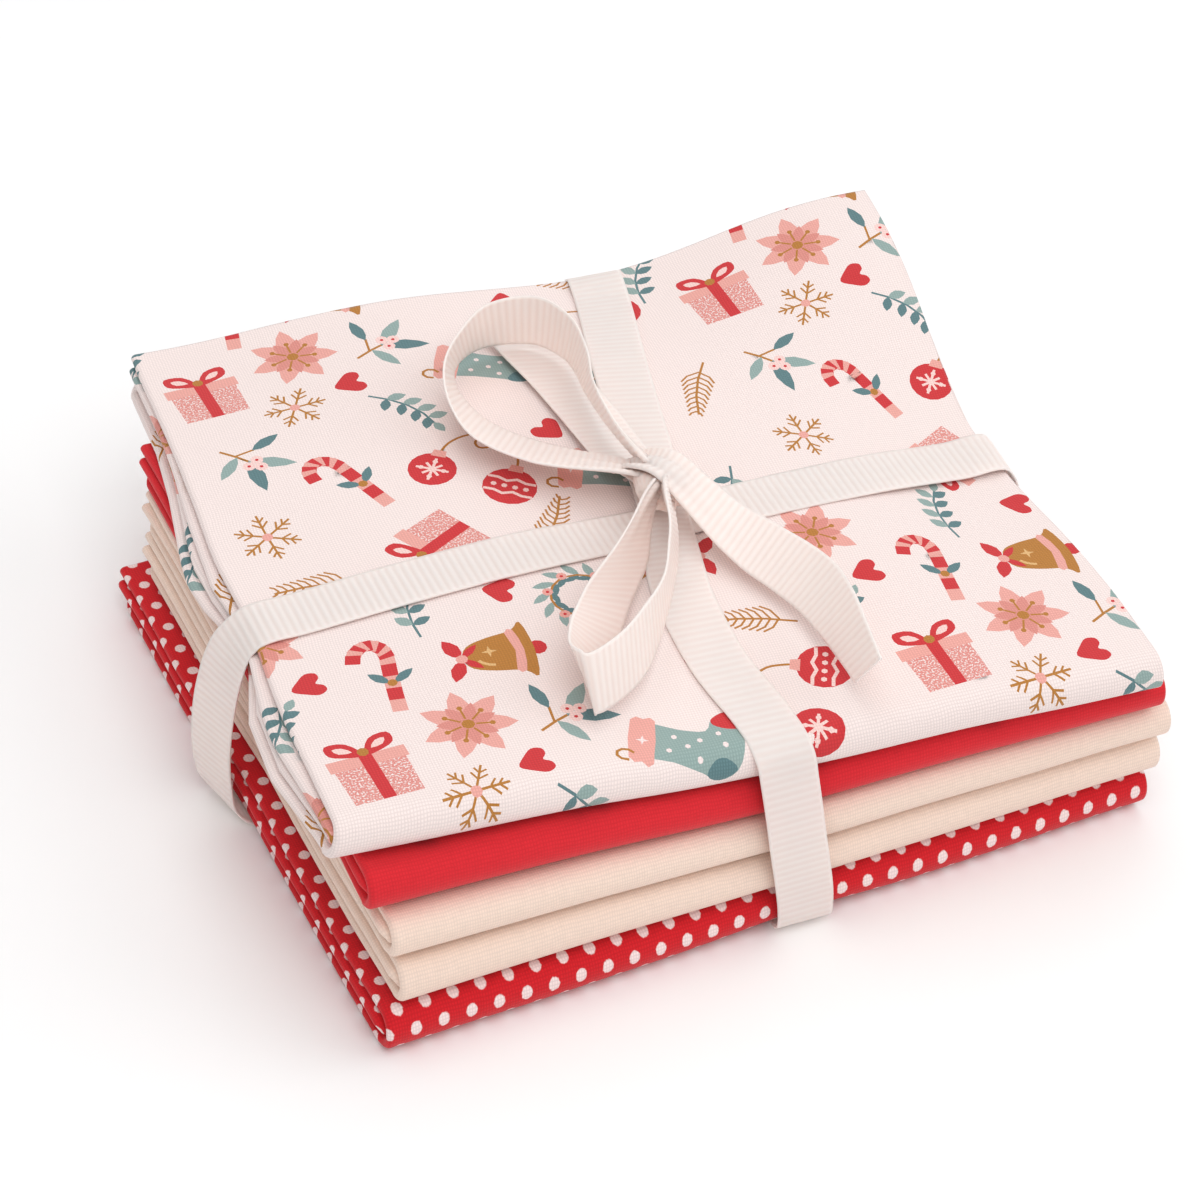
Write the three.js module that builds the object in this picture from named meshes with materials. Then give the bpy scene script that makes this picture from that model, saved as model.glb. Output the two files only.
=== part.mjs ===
// A bundle of five fat quarters of quilting cotton, tied with a ribbon and a bow.
// Every cloth is a true folded sheet: one back-and-forth section of four thick layers, each layer
// standing for the four plies that the two left-to-right folds give. The ribbon's parts are thin
// strips that run round the pile and make the bow. Millimetres, +Z up, the bundle's front at -Y.
import * as THREE from 'three';
import { mergeVertices } from 'three/addons/utils/BufferGeometryUtils.js';

// Driving dimensions.
const LAYER_PITCH = 1.91;
const LAYER_THICKNESS = 1.45;
const LAYERS_PER_CLOTH = 4;
const CLOTH_PITCH = 8.16;
const STACK_BASE = 1.5;
const RIBBON_WIDTH = 9.8;
const RIBBON_THICKNESS = 1;
const STACK_HEIGHT = 41.6;

// The centre of the bundle's own box, as it lies in the frame that the tables below use.
const BOX_CENTRE = { x: -1.43, y: -4.34 };

// The five cloths from the bottom up: folded width and depth, the centre, and the turn in degrees.
const CLOTHS = [
  { name: 'cloth_dotted', width: 139, depth: 117, x: -1.9, y: -7.9, turn: 6.2, colour: 0xc4202a },
  { name: 'cloth_cream_lower', width: 137, depth: 114, x: 0.5, y: -9.1, turn: 5.5, colour: 0xebdcc6 },
  { name: 'cloth_cream_upper', width: 138, depth: 114, x: 1.1, y: -8.6, turn: 4.5, colour: 0xebdcc6 },
  { name: 'cloth_red', width: 138, depth: 114, x: 0.2, y: -7.2, turn: 3, colour: 0xc42830 },
  { name: 'cloth_print', width: 137.5, depth: 125.5, x: 0.3, y: -1, turn: -0.3, colour: 0xe8c9ba },
];

// The four layers in the order in which the sheet runs through them: height in layer pitches, how
// far the layer stops short of the folded depth at the back, and how far its fold on the left lies
// inside the folded width.
const LAYERS = [
  { level: 3.5, backGap: 0, leftGap: 0.9 },
  { level: 0.5, backGap: 2.1, leftGap: 0.6 },
  { level: 1.5, backGap: 2.1, leftGap: 1.3 },
  { level: 2.5, backGap: 1.2, leftGap: 0 },
];
const OUTER_BEND_STEPS = 7;
const INNER_BEND_STEPS = 4;

// Where a layer is cut into rows, from the back to the front, in shares of the folded depth.
const ROWS_ALONG_LAYER = [0.41, 0.22, 0.04, -0.05, -0.15, -0.28, -0.4];

// Where a layer is cut into columns: first the rounded fold on the left, as a distance from its
// edge and a share of the thickness, then shares of the folded width.
const LEFT_FOLD = [
  { inset: 0, share: 0.35 },
  { inset: 0.3, share: 0.8 },
  { inset: 0.8, share: 1 },
];
const COLUMNS_ACROSS = [-0.36, -0.16, -0.03, 0.07, 0.2, 0.41, 0.5];

// How the top of the pile gives way: the place, the rise there, and how far the rise reaches.
// The rise fades to nothing at the floor.
const RISES = [
  { x: -66, y: 60, rise: -3, reach: 28 },
  { x: 66, y: 60, rise: 6, reach: 31 },
  { x: 68, y: -8, rise: -4, reach: 28 },
  { x: -68, y: -13, rise: -2, reach: 26 },
  { x: 4, y: -62, rise: -3.5, reach: 24 },
  { x: 17, y: 60, rise: -3.5, reach: 26 },
  { x: 3, y: -6, rise: -1.5, reach: 20 },
];

// The two ribbon runs cross beneath the pile and lift its underside there.
const CROSSING = { x: 12, y: -8.5, rise: 1.5, reach: 34 };

// The ribbons draw the pile's right side and its front side in, most at the top.
const RIGHT_PULL = { depth: 4, y: 4, reach: 30, from: 30 };
const FRONT_PULL = { depth: 1.5, x: 4, reach: 16, from: 40 };

function bell(distance, reach) {
  return Math.exp(-((distance / reach) ** 2));
}

// Moves a point of the evenly piled cloths to where it lies under the tied ribbon.
function settle(point) {
  const share = point.z / STACK_HEIGHT;
  let rise = CROSSING.rise * (1 - share);
  rise *= bell(Math.hypot(point.x - CROSSING.x, point.y - CROSSING.y), CROSSING.reach);
  for (const give of RISES) {
    const away = Math.hypot(point.x - give.x, point.y - give.y);
    rise += share * give.rise * bell(away, give.reach);
  }
  const toRight = THREE.MathUtils.smoothstep(point.x, RIGHT_PULL.from, 70);
  const toFront = THREE.MathUtils.smoothstep(-point.y, FRONT_PULL.from, 64);
  const right = RIGHT_PULL.depth * toRight * bell(point.y - RIGHT_PULL.y, RIGHT_PULL.reach);
  const front = FRONT_PULL.depth * toFront * bell(point.x - FRONT_PULL.x, FRONT_PULL.reach);
  const strength = share ** 2;
  return new THREE.Vector3(
    point.x - right * strength,
    point.y + front * strength,
    point.z + rise,
  );
}

// Turns a mesh inside out when its faces point inwards.
function facingOut(geometry) {
  const position = geometry.getAttribute('position');
  const index = geometry.getIndex();
  const [a, b, c] = [new THREE.Vector3(), new THREE.Vector3(), new THREE.Vector3()];
  let volume = 0;
  for (let i = 0; i < index.count; i += 3) {
    a.fromBufferAttribute(position, index.getX(i));
    b.fromBufferAttribute(position, index.getX(i + 1));
    c.fromBufferAttribute(position, index.getX(i + 2));
    volume += a.dot(b.cross(c));
  }
  if (volume < 0) {
    geometry.setIndex(Array.from(index.array).reverse());
  }
  geometry.computeVertexNormals();
  return geometry;
}

// A strip with two faces: pointAt(row, column, side) gives its points, with side 1 or -1. It is
// closed all round, and either has two ends or runs back into its own start as a ring.
function stripGeometry(rowCount, columnCount, pointAt, isRing) {
  const points = [];
  for (let row = 0; row < rowCount; row += 1) {
    for (let column = 0; column < columnCount; column += 1) {
      points.push(...pointAt(row, column, 1).toArray());
      points.push(...pointAt(row, column, -1).toArray());
    }
  }
  const corner = (row, column, face) => ((row % rowCount) * columnCount + column) * 2 + face;
  const index = [];
  const quad = (a, b, c, d) => index.push(a, b, c, a, c, d);
  const lastColumn = columnCount - 1;
  const lastRow = rowCount - 1;
  const spans = isRing ? rowCount : lastRow;
  for (let row = 0; row < spans; row += 1) {
    const next = row + 1;
    for (let column = 0; column < lastColumn; column += 1) {
      const beside = column + 1;
      quad(corner(row, column, 0), corner(next, column, 0), corner(next, beside, 0), corner(row, beside, 0));
      quad(corner(row, column, 1), corner(row, beside, 1), corner(next, beside, 1), corner(next, column, 1));
    }
    quad(corner(row, 0, 0), corner(row, 0, 1), corner(next, 0, 1), corner(next, 0, 0));
    quad(
      corner(row, lastColumn, 0),
      corner(next, lastColumn, 0),
      corner(next, lastColumn, 1),
      corner(row, lastColumn, 1),
    );
  }
  for (let column = 0; column < lastColumn && !isRing; column += 1) {
    const beside = column + 1;
    quad(corner(0, column, 0), corner(0, beside, 0), corner(0, beside, 1), corner(0, column, 1));
    quad(
      corner(lastRow, column, 0),
      corner(lastRow, column, 1),
      corner(lastRow, beside, 1),
      corner(lastRow, beside, 0),
    );
  }
  const geometry = new THREE.BufferGeometry();
  geometry.setAttribute('position', new THREE.Float32BufferAttribute(points, 3));
  geometry.setIndex(index);
  return facingOut(geometry);
}

// One bend of the section: points on an arc, from one angle to another in half turns.
function bendRows(centre, radius, fromAngle, toAngle, steps, before, after) {
  const rows = [];
  const outward = Math.sign(toAngle - fromAngle);
  for (let step = 1; step < steps; step += 1) {
    const share = step / steps;
    const angle = Math.PI * THREE.MathUtils.lerp(fromAngle, toAngle, share);
    rows.push({
      along: centre.along + radius * Math.cos(angle),
      up: centre.up + radius * Math.sin(angle),
      normalAlong: outward * Math.cos(angle),
      normalUp: outward * Math.sin(angle),
      leftGap: THREE.MathUtils.lerp(before.leftGap, after.leftGap, share),
    });
  }
  return rows;
}

// The rows of one flat layer, given from the back to the front.
function layerRows(layer, depth, backEnd, frontEnd) {
  const places = ROWS_ALONG_LAYER.map((share) => share * depth);
  const normalUp = layer.level === 3.5 || layer.level === 1.5 ? 1 : -1;
  return [backEnd, ...places, frontEnd].map((along) => ({
    along,
    up: layer.level * LAYER_PITCH,
    normalAlong: 0,
    normalUp,
    leftGap: layer.leftGap,
  }));
}

// The folded section of a cloth: from the free edge on top, round the big fold at the front, back
// along the bottom, round the small fold at the back, and round the inside of the front fold.
function foldedSection(depth) {
  const [topOuter, bottomOuter, bottomInner, topInner] = LAYERS;
  const front = -depth / 2 + 2 * LAYER_PITCH;
  const foldBack = depth / 2 - bottomOuter.backGap - LAYER_PITCH;
  const frontCentre = { along: front, up: 2 * LAYER_PITCH };
  const backCentre = { along: foldBack, up: LAYER_PITCH };
  const outerRadius = 1.5 * LAYER_PITCH;
  const innerRadius = 0.5 * LAYER_PITCH;
  return [
    ...layerRows(topOuter, depth, depth / 2 - topOuter.backGap, front),
    ...bendRows(frontCentre, outerRadius, 0.5, 1.5, OUTER_BEND_STEPS, topOuter, bottomOuter),
    ...layerRows(bottomOuter, depth, foldBack, front).reverse(),
    ...bendRows(backCentre, innerRadius, -0.5, 0.5, INNER_BEND_STEPS, bottomOuter, bottomInner),
    ...layerRows(bottomInner, depth, foldBack, front),
    ...bendRows(frontCentre, innerRadius, 1.5, 0.5, INNER_BEND_STEPS, bottomInner, topInner),
    ...layerRows(topInner, depth, depth / 2 - topInner.backGap, front).reverse(),
  ];
}

function makeCloth(cloth, order) {
  const rows = foldedSection(cloth.depth);
  const base = STACK_BASE + order * CLOTH_PITCH;
  const turn = THREE.MathUtils.degToRad(cloth.turn);
  const upAxis = new THREE.Vector3(0, 0, 1);
  const columnCount = LEFT_FOLD.length + COLUMNS_ACROSS.length;
  const pointAt = (row, column, side) => {
    const { along, up, normalAlong, normalUp, leftGap } = rows[row];
    const rim = LEFT_FOLD[column];
    const share = rim ? rim.share : 1;
    const across = rim
      ? -cloth.width / 2 + leftGap + rim.inset
      : COLUMNS_ACROSS[column - LEFT_FOLD.length] * cloth.width;
    const offset = (side * share * LAYER_THICKNESS) / 2;
    const point = new THREE.Vector3(across, along + normalAlong * offset, up + normalUp * offset);
    point.applyAxisAngle(upAxis, turn);
    point.add(new THREE.Vector3(cloth.x, cloth.y, base));
    return settle(point);
  };
  const mesh = new THREE.Mesh(
    stripGeometry(rows.length, columnCount, pointAt, false),
    new THREE.MeshStandardMaterial({ color: cloth.colour, roughness: 0.9, metalness: 0 }),
  );
  mesh.name = cloth.name;
  return mesh;
}

// The ribbon's routes. Columns: x, y and z of its middle line, then the direction across it.
const TOP = STACK_BASE + CLOTH_PITCH * (CLOTHS.length - 1) + (LAYERS_PER_CLOTH - 0.5) * LAYER_PITCH
  + LAYER_THICKNESS / 2;

// A station on the pile's top, above the settled cloth by a given distance.
function onTop(x, y, above, acrossX, acrossY) {
  const { z } = settle(new THREE.Vector3(x, y, TOP));
  return [x, y, z + above, acrossX, acrossY, 0];
}

const ON_CLOTH = 1.28;
const OVER_RIBBON = 2.8;
const UNDER_CLOTH = RIBBON_THICKNESS / 2;
const OVER_CROSSING = RIBBON_THICKNESS * 1.5 + 0.35;

const CROSSWISE_ROUTE = [
  onTop(-60, -13.1, ON_CLOTH, -0.06, 1),
  onTop(-42, -12, ON_CLOTH, -0.06, 1),
  onTop(-22, -10.7, ON_CLOTH, -0.06, 1),
  onTop(-8, -9.8, ON_CLOTH, -0.06, 1),
  onTop(4, -9, ON_CLOTH, -0.06, 1),
  onTop(18, -8.2, ON_CLOTH, -0.06, 1),
  onTop(42, -6.6, ON_CLOTH, -0.06, 1),
  onTop(58, -5.6, ON_CLOTH, -0.06, 1),
  [65.4, -5.2, 39.2, 0, 1, 0],
  [68.3, -5, 36.2, 0, 1, 0],
  [69.6, -5, 30.5, 0, 1, 0],
  [71.2, -5, 24, 0, 1, 0],
  [72, -5, 15, 0, 1, 0],
  [71.9, -5.2, 6, 0, 1, 0],
  [70.8, -5.4, 1.9, 0, 1, 0],
  [67, -5.6, 0.6, 0, 1, 0],
  [62, -5.8, UNDER_CLOTH, 0, 1, 0],
  [56, -6.1, UNDER_CLOTH, -0.06, 1, 0],
  [25, -7.6, UNDER_CLOTH, -0.06, 1, 0],
  [-25, -10.9, UNDER_CLOTH, -0.06, 1, 0],
  [-58, -12.6, UNDER_CLOTH, -0.06, 1, 0],
  [-63.4, -12.9, UNDER_CLOTH, -0.06, 1, 0],
  [-68.4, -13.1, 0.6, -0.06, 1, 0],
  [-73.5, -13.2, 2.2, -0.15, 1, 0],
  [-74, -13.2, 7, -0.3, 1, 0],
  [-74.2, -13, 16, -0.36, 0.93, 0],
  [-73.8, -12.9, 26, -0.36, 0.93, 0],
  [-72, -13, 34, -0.25, 0.96, 0],
  [-70, -13.3, 38.6, -0.1, 1, 0],
  [-67, -13.4, 40.9, -0.06, 1, 0],
];

const LENGTHWISE_ROUTE = [
  onTop(2.6, -55, ON_CLOTH, 1, 0),
  onTop(0, -43, ON_CLOTH, 1, 0),
  onTop(-0.3, -29, ON_CLOTH, 1, -0.05),
  onTop(0.8, -22, ON_CLOTH, 1, -0.1),
  onTop(2.4, -15.4, OVER_RIBBON, 1, -0.15),
  onTop(5.2, -2.6, OVER_RIBBON, 1, -0.15),
  onTop(6.4, 4.8, 1.6, 1, -0.2),
  onTop(7.4, 12, ON_CLOTH, 1, -0.22),
  onTop(11, 32, ON_CLOTH, 1, -0.2),
  onTop(15.6, 53, 1.75, 1, -0.15),
  [16.6, 60.2, 40.7, 1, -0.05, 0.08],
  [17, 63.5, 38.4, 1, -0.05, 0.05],
  [17.2, 63.3, 33.8, 1, 0, 0],
  [17.2, 61, 30, 1, 0, 0],
  [17.1, 56.6, 24.5, 1, 0, 0],
  [17, 54.8, 17, 1, 0, 0],
  [17, 54.8, 8, 1, 0, 0],
  [16.8, 53.2, 2.4, 1, 0, 0],
  [16.6, 49.4, 0.75, 1, -0.05, 0],
  [16.2, 45.4, UNDER_CLOTH, 1, -0.1, 0],
  [15.8, 40, UNDER_CLOTH, 1, -0.1, 0],
  [13.6, 14, 0.75, 1, -0.1, 0],
  [12.6, -1, OVER_CROSSING, 1, -0.05, 0],
  [11.8, -16, OVER_CROSSING, 1, -0.05, 0],
  [11, -31, 0.75, 1, -0.05, 0],
  [9.4, -52, UNDER_CLOTH, 1, 0, 0],
  [9, -58, 0.65, 1, 0, 0],
  [8.8, -63, 0.9, 1, 0, 0],
  [8.5, -66.8, 2.8, 1, 0.05, 0],
  [8.1, -67, 7.5, 1, 0.06, 0],
  [7, -67.1, 14, 1, 0.06, 0],
  [5.8, -66.7, 21, 1, 0.06, 0],
  [5, -65.8, 27, 1, 0.06, 0],
  [4.4, -64.9, 32, 1, 0.06, 0],
  [3.9, -63.9, 36.7, 1, 0.04, 0],
  [3.4, -60.7, 39.4, 1, 0.02, 0],
];

const LOOP_BACK_ROUTE = [
  [-2.8, 0.8, 47.3, -0.46, -0.83, 0.3],
  [-12.3, 9.1, 45.6, -0.51, -0.8, 0.33],
  [-19.3, 17.5, 45.6, -0.5, -0.77, 0.38],
  [-21.4, 25, 46.8, -0.43, -0.73, 0.53],
  [-20.2, 32.2, 47.8, -0.36, -0.63, 0.69],
  [-15.4, 37.9, 48.3, -0.27, -0.41, 0.87],
  [-9.6, 40.8, 48.6, -0.16, -0.06, 0.98],
  [-2.2, 39.2, 49, 0.02, 0.06, 1],
  [1.2, 33, 49.2, 0.04, -0.16, 0.98],
  [1.3, 26, 49.6, -0.06, -0.5, 0.86],
  [0, 18, 50.1, -0.18, -0.65, 0.74],
  [0, 8.5, 50.5, -0.19, -0.7, 0.69],
  [1.4, 1.6, 50.8, -0.17, -0.71, 0.68],
];

const LOOP_FRONT_ROUTE = [
  [-2.6, -15.2, 49.2, -0.54, -0.6, 0.59],
  [-8.3, -22.9, 47.8, -0.7, -0.48, 0.52],
  [-14, -29.8, 47.2, -0.77, -0.33, 0.55],
  [-18, -35.5, 47, -0.76, -0.07, 0.64],
  [-21.7, -41.3, 47.5, -0.59, 0.2, 0.79],
  [-24.4, -46.6, 48, -0.3, 0.4, 0.87],
  [-24.2, -49.8, 48.2, -0.05, 0.48, 0.88],
  [-18.2, -47.2, 48.2, 0.04, 0.46, 0.89],
  [-12.6, -42.6, 48.4, 0, 0.38, 0.92],
  [-6.1, -34.2, 48.9, -0.18, -0.16, 0.97],
  [-1.6, -25.6, 49.3, -0.31, -0.34, 0.88],
  [0.5, -20.2, 49.8, -0.35, -0.4, 0.84],
  [1.8, -14.6, 50.3, -0.39, -0.5, 0.77],
];

const TAIL_FRONT_ROUTE = [
  [9.6, -11, 44.9, 0.6, 0.78, 0.04],
  [11.9, -17.9, 45.3, 0.72, 0.66, 0.2],
  [14.4, -24.6, 45.8, 0.76, 0.52, 0.38],
  [17, -31, 46.2, 0.76, 0.34, 0.55],
  [18.7, -37.5, 47, 0.58, -0.04, 0.81],
  [18.8, -44, 47.8, 0.28, -0.38, 0.88],
  [18.4, -50.4, 47.8, -0.02, -0.55, 0.83],
  [18.1, -56.6, 47.6, -0.2, -0.63, 0.75],
];

const TAIL_BACK_ROUTE = [
  [3.4, 1.6, 44, 0.98, -0.16, -0.04],
  [2, 8, 43.7, 0.98, -0.16, -0.04],
  [1.2, 15, 43.6, 0.98, -0.14, -0.02],
  [0.2, 22, 43.7, 0.99, -0.14, 0],
  [-1.2, 31, 43, 0.98, -0.18, 0],
  [-3, 39, 42.8, 0.97, -0.22, 0],
  [-4.2, 44.5, 42.9, 0.97, -0.24, 0],
];

// A length of ribbon along its middle line. The direction across may slant to the line: the strip
// keeps its square width, so it is then longer along the slant.
function makeRibbon(name, route, isRing, rowsPerStation) {
  const toVectors = (first) => route.map((row) => new THREE.Vector3(...row.slice(first, first + 3)));
  const middle = new THREE.CatmullRomCurve3(toVectors(0), isRing, 'centripetal');
  const across = new THREE.CatmullRomCurve3(toVectors(3), isRing, 'catmullrom');
  const spans = isRing ? route.length : route.length - 1;
  const steps = spans * rowsPerStation;
  const rowCount = isRing ? steps : steps + 1;
  const pointAt = (row, column, side) => {
    const share = row / steps;
    const tangent = middle.getTangent(share);
    const sideways = across.getPoint(share).normalize();
    const normal = new THREE.Vector3().crossVectors(tangent, sideways);
    const slantedWidth = RIBBON_WIDTH / normal.length();
    normal.normalize();
    const point = middle.getPoint(share);
    point.addScaledVector(sideways, (column - 0.5) * slantedWidth);
    return point.addScaledVector(normal, (side * RIBBON_THICKNESS) / 2);
  };
  const mesh = new THREE.Mesh(
    stripGeometry(rowCount, 2, pointAt, isRing),
    new THREE.MeshStandardMaterial({ color: 0xefe6d8, roughness: 0.6, metalness: 0 }),
  );
  mesh.name = name;
  return mesh;
}

// The knot: a turn of ribbon drawn tight, a cushion with flattened sides.
const KNOT = { x: 4.2, y: -6, z: 46.2, length: 10, depth: 9.4, height: 4.6, fullness: 0.75 };

function makeKnot() {
  const geometry = new THREE.SphereGeometry(1, 20, 12);
  geometry.deleteAttribute('normal');
  geometry.deleteAttribute('uv');
  const cushion = mergeVertices(geometry);
  const position = cushion.getAttribute('position');
  const swell = (value) => Math.sign(value) * Math.abs(value) ** KNOT.fullness;
  for (let i = 0; i < position.count; i += 1) {
    position.setXYZ(
      i,
      (swell(position.getX(i)) * KNOT.length) / 2,
      (swell(position.getY(i)) * KNOT.depth) / 2,
      (swell(position.getZ(i)) * KNOT.height) / 2,
    );
  }
  const mesh = new THREE.Mesh(
    facingOut(cushion),
    new THREE.MeshStandardMaterial({ color: 0xefe6d8, roughness: 0.6, metalness: 0 }),
  );
  mesh.position.set(KNOT.x, KNOT.y, KNOT.z);
  mesh.name = 'knot';
  return mesh;
}

const bundle = new THREE.Group();
CLOTHS.forEach((cloth, order) => bundle.add(makeCloth(cloth, order)));
bundle.add(makeRibbon('ribbon_crosswise', CROSSWISE_ROUTE, true, 2));
bundle.add(makeRibbon('ribbon_lengthwise', LENGTHWISE_ROUTE, true, 2));
bundle.add(makeKnot());
bundle.add(makeRibbon('loop_back', LOOP_BACK_ROUTE, false, 2));
bundle.add(makeRibbon('loop_front', LOOP_FRONT_ROUTE, false, 2));
bundle.add(makeRibbon('tail_front', TAIL_FRONT_ROUTE, false, 2));
bundle.add(makeRibbon('tail_back', TAIL_BACK_ROUTE, false, 2));
bundle.position.set(-BOX_CENTRE.x, -BOX_CENTRE.y, 0);

export default bundle;
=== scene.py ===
# %% [markdown]
# A bundle of five fat quarters, tied with a ribbon.
# A fat quarter is a piece of quilting cotton of about 55 by 50 centimetres. A shop folds each one
# in half four times, piles five of them up and ties them both ways with a narrow ribbon that
# ends in a bow. The solid model of the bundle is loaded first, as a fixed frame: every finer
# piece below is laid where its solid lies, and then hides it.

# %% Load the frame
import math

import bpy
import numpy as np
from mathutils import Matrix, Vector
from mathutils.geometry import delaunay_2d_cdt


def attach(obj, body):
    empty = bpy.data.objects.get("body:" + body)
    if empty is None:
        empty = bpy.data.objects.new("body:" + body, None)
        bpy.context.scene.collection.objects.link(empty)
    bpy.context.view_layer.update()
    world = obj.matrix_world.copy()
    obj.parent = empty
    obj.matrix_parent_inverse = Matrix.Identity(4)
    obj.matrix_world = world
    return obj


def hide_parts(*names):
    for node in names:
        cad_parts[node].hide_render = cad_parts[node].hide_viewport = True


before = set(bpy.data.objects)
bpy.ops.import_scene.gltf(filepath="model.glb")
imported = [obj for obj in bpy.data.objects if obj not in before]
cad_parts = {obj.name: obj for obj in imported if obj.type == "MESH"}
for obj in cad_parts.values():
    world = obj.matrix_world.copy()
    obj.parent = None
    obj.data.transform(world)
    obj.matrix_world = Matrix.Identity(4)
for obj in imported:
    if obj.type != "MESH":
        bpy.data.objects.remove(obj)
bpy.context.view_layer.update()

MM = 0.001
PILE_ORIGIN = np.array([1.43, 4.34, 0.0])
print("The frame holds", len(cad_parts), "nodes")

# %% [markdown]
# The camera looks down on the bundle from its front left, from far away and with a long lens, so
# that the sides keep nearly parallel. A camera looks along its own -Z, so its turn is a matrix
# whose columns are its right, up and back directions.

# %% Set the camera
AIM = np.array([4.73, 18.97, 0.0]) + PILE_ORIGIN
AZIMUTH, ELEVATION, ROLL = (math.radians(angle) for angle in (-22.44, 41.14, 3.71))
DISTANCE = 642.5
LENS = 108.4

back = Vector((
    math.sin(AZIMUTH) * math.cos(ELEVATION),
    -math.cos(AZIMUTH) * math.cos(ELEVATION),
    math.sin(ELEVATION),
))
level_right = Vector((math.cos(AZIMUTH), math.sin(AZIMUTH), 0.0))
level_up = back.cross(level_right)
right = math.cos(ROLL) * level_right + math.sin(ROLL) * level_up
up = -math.sin(ROLL) * level_right + math.cos(ROLL) * level_up
camera_data = bpy.data.cameras.new("camera")
camera_data.lens = LENS
camera_data.sensor_width = 36.0
camera_data.clip_start = 0.01
camera = bpy.data.objects.new("camera", camera_data)
bpy.context.collection.objects.link(camera)
turn = Matrix((right, up, back)).transposed().to_4x4()
turn.translation = (Vector(AIM) + DISTANCE * back) * MM
camera.matrix_world = turn
bpy.context.scene.camera = camera
print("Camera", round(DISTANCE), "mm from its aim")

# %% [markdown]
# The bundle stands on a plain pale floor in a studio. Large area lights give soft shadows: one
# high in front, one that fills from the right, and one overhead. The world adds an even light
# from all round, so that no fold goes black.

# %% Light and floor
FLOOR_SIZE = 4.0
PALE = (0.96, 0.96, 0.96, 1)
WORLD_LIGHT = 0.6
LIT_PLACE = Vector((0, 0, 0.02))

# name, place and size in metres, and power in watts
SOFT_LIGHTS = [
    ("key", (-0.05, -0.5, 1.0), 0.7, 3.4),
    ("fill", (0.9, -0.3, 0.8), 0.9, 3.0),
    ("top", (0.1, 0.4, 1.1), 0.9, 3.2),
]


def node_material(name):
    material = bpy.data.materials.new(name)
    material.use_nodes = True
    return material, material.node_tree, material.node_tree.nodes["Principled BSDF"]


bpy.ops.object.select_all(action="DESELECT")
bpy.ops.mesh.primitive_plane_add(size=FLOOR_SIZE, location=(0, 0, 0))
floor = bpy.context.object
floor.name = "floor"
floor_material, _, floor_shader = node_material("pale_floor")
floor_shader.inputs["Base Color"].default_value = PALE
floor_shader.inputs["Roughness"].default_value = 0.9
floor.data.materials.append(floor_material)

world = bpy.data.worlds.new("studio")
bpy.context.scene.world = world
world.use_nodes = True
world.node_tree.nodes["Background"].inputs["Color"].default_value = (1, 1, 1, 1)
world.node_tree.nodes["Background"].inputs["Strength"].default_value = WORLD_LIGHT

for name, place, size, power in SOFT_LIGHTS:
    lamp = bpy.data.lights.new(name, "AREA")
    lamp.shape = "SQUARE"
    lamp.size = size
    lamp.energy = power
    light = bpy.data.objects.new(name, lamp)
    bpy.context.collection.objects.link(light)
    light.location = place
    light.rotation_euler = (LIT_PLACE - Vector(place)).to_track_quat("-Z", "Y").to_euler()
print(len(SOFT_LIGHTS), "soft lights over a", FLOOR_SIZE, "m floor")

# %% [markdown]
# The ribbon presses the pile in. One function moves any point of the evenly piled cloths to where
# it lies in the tied bundle, so that all the cloths and the ribbon agree. Bells give the places
# where the top rises or dips; the movement fades out towards the floor.

# %% How the pile settles
STACK_BASE = 1.5
LAYER_PITCH = 1.91
CLOTH_PITCH = 8.16
STACK_HEIGHT = 41.6
TOP = STACK_BASE + 4 * CLOTH_PITCH + 4 * LAYER_PITCH

# x, y, rise and reach of each place where the top of the pile gives way.
RISES = [
    (-66, 60, -3.0, 28),
    (66, 60, 6.0, 31),
    (68, -8, -4.0, 28),
    (-68, -13, -2.0, 26),
    (4, -62, -3.5, 24),
    (17, 60, -3.5, 26),
    (3, -6, -1.5, 20),
    (62, -60, -1.8, 34),
]
RIBBON_RUNS = {"x_at_front": 8.8, "x_slant": 0.07, "y_at_middle": -9.3, "y_slant": 0.064}
CROSSING_BENEATH = {"x": 12, "y": -8.5, "rise": 1.2, "reach": 30}
# The lowest cloth sags to the floor by this much, but not within this reach of the ribbon.
SAG, RIBBON_REACH = 1.35, 13
# How far the ribbon pulls in the edges that it passes, where it passes, and with what reach.
PULL_AT_RIGHT = {"by": 4, "y": 4, "reach": 30}
PULL_AT_FRONT = {"by": 1.5, "x": 4, "reach": 16}


def bell(distance, reach):
    return np.exp(-((distance / reach) ** 2))


def smooth_step(value, low, high):
    share = np.clip((value - low) / (high - low), 0, 1)
    return share * share * (3 - 2 * share)


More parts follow.
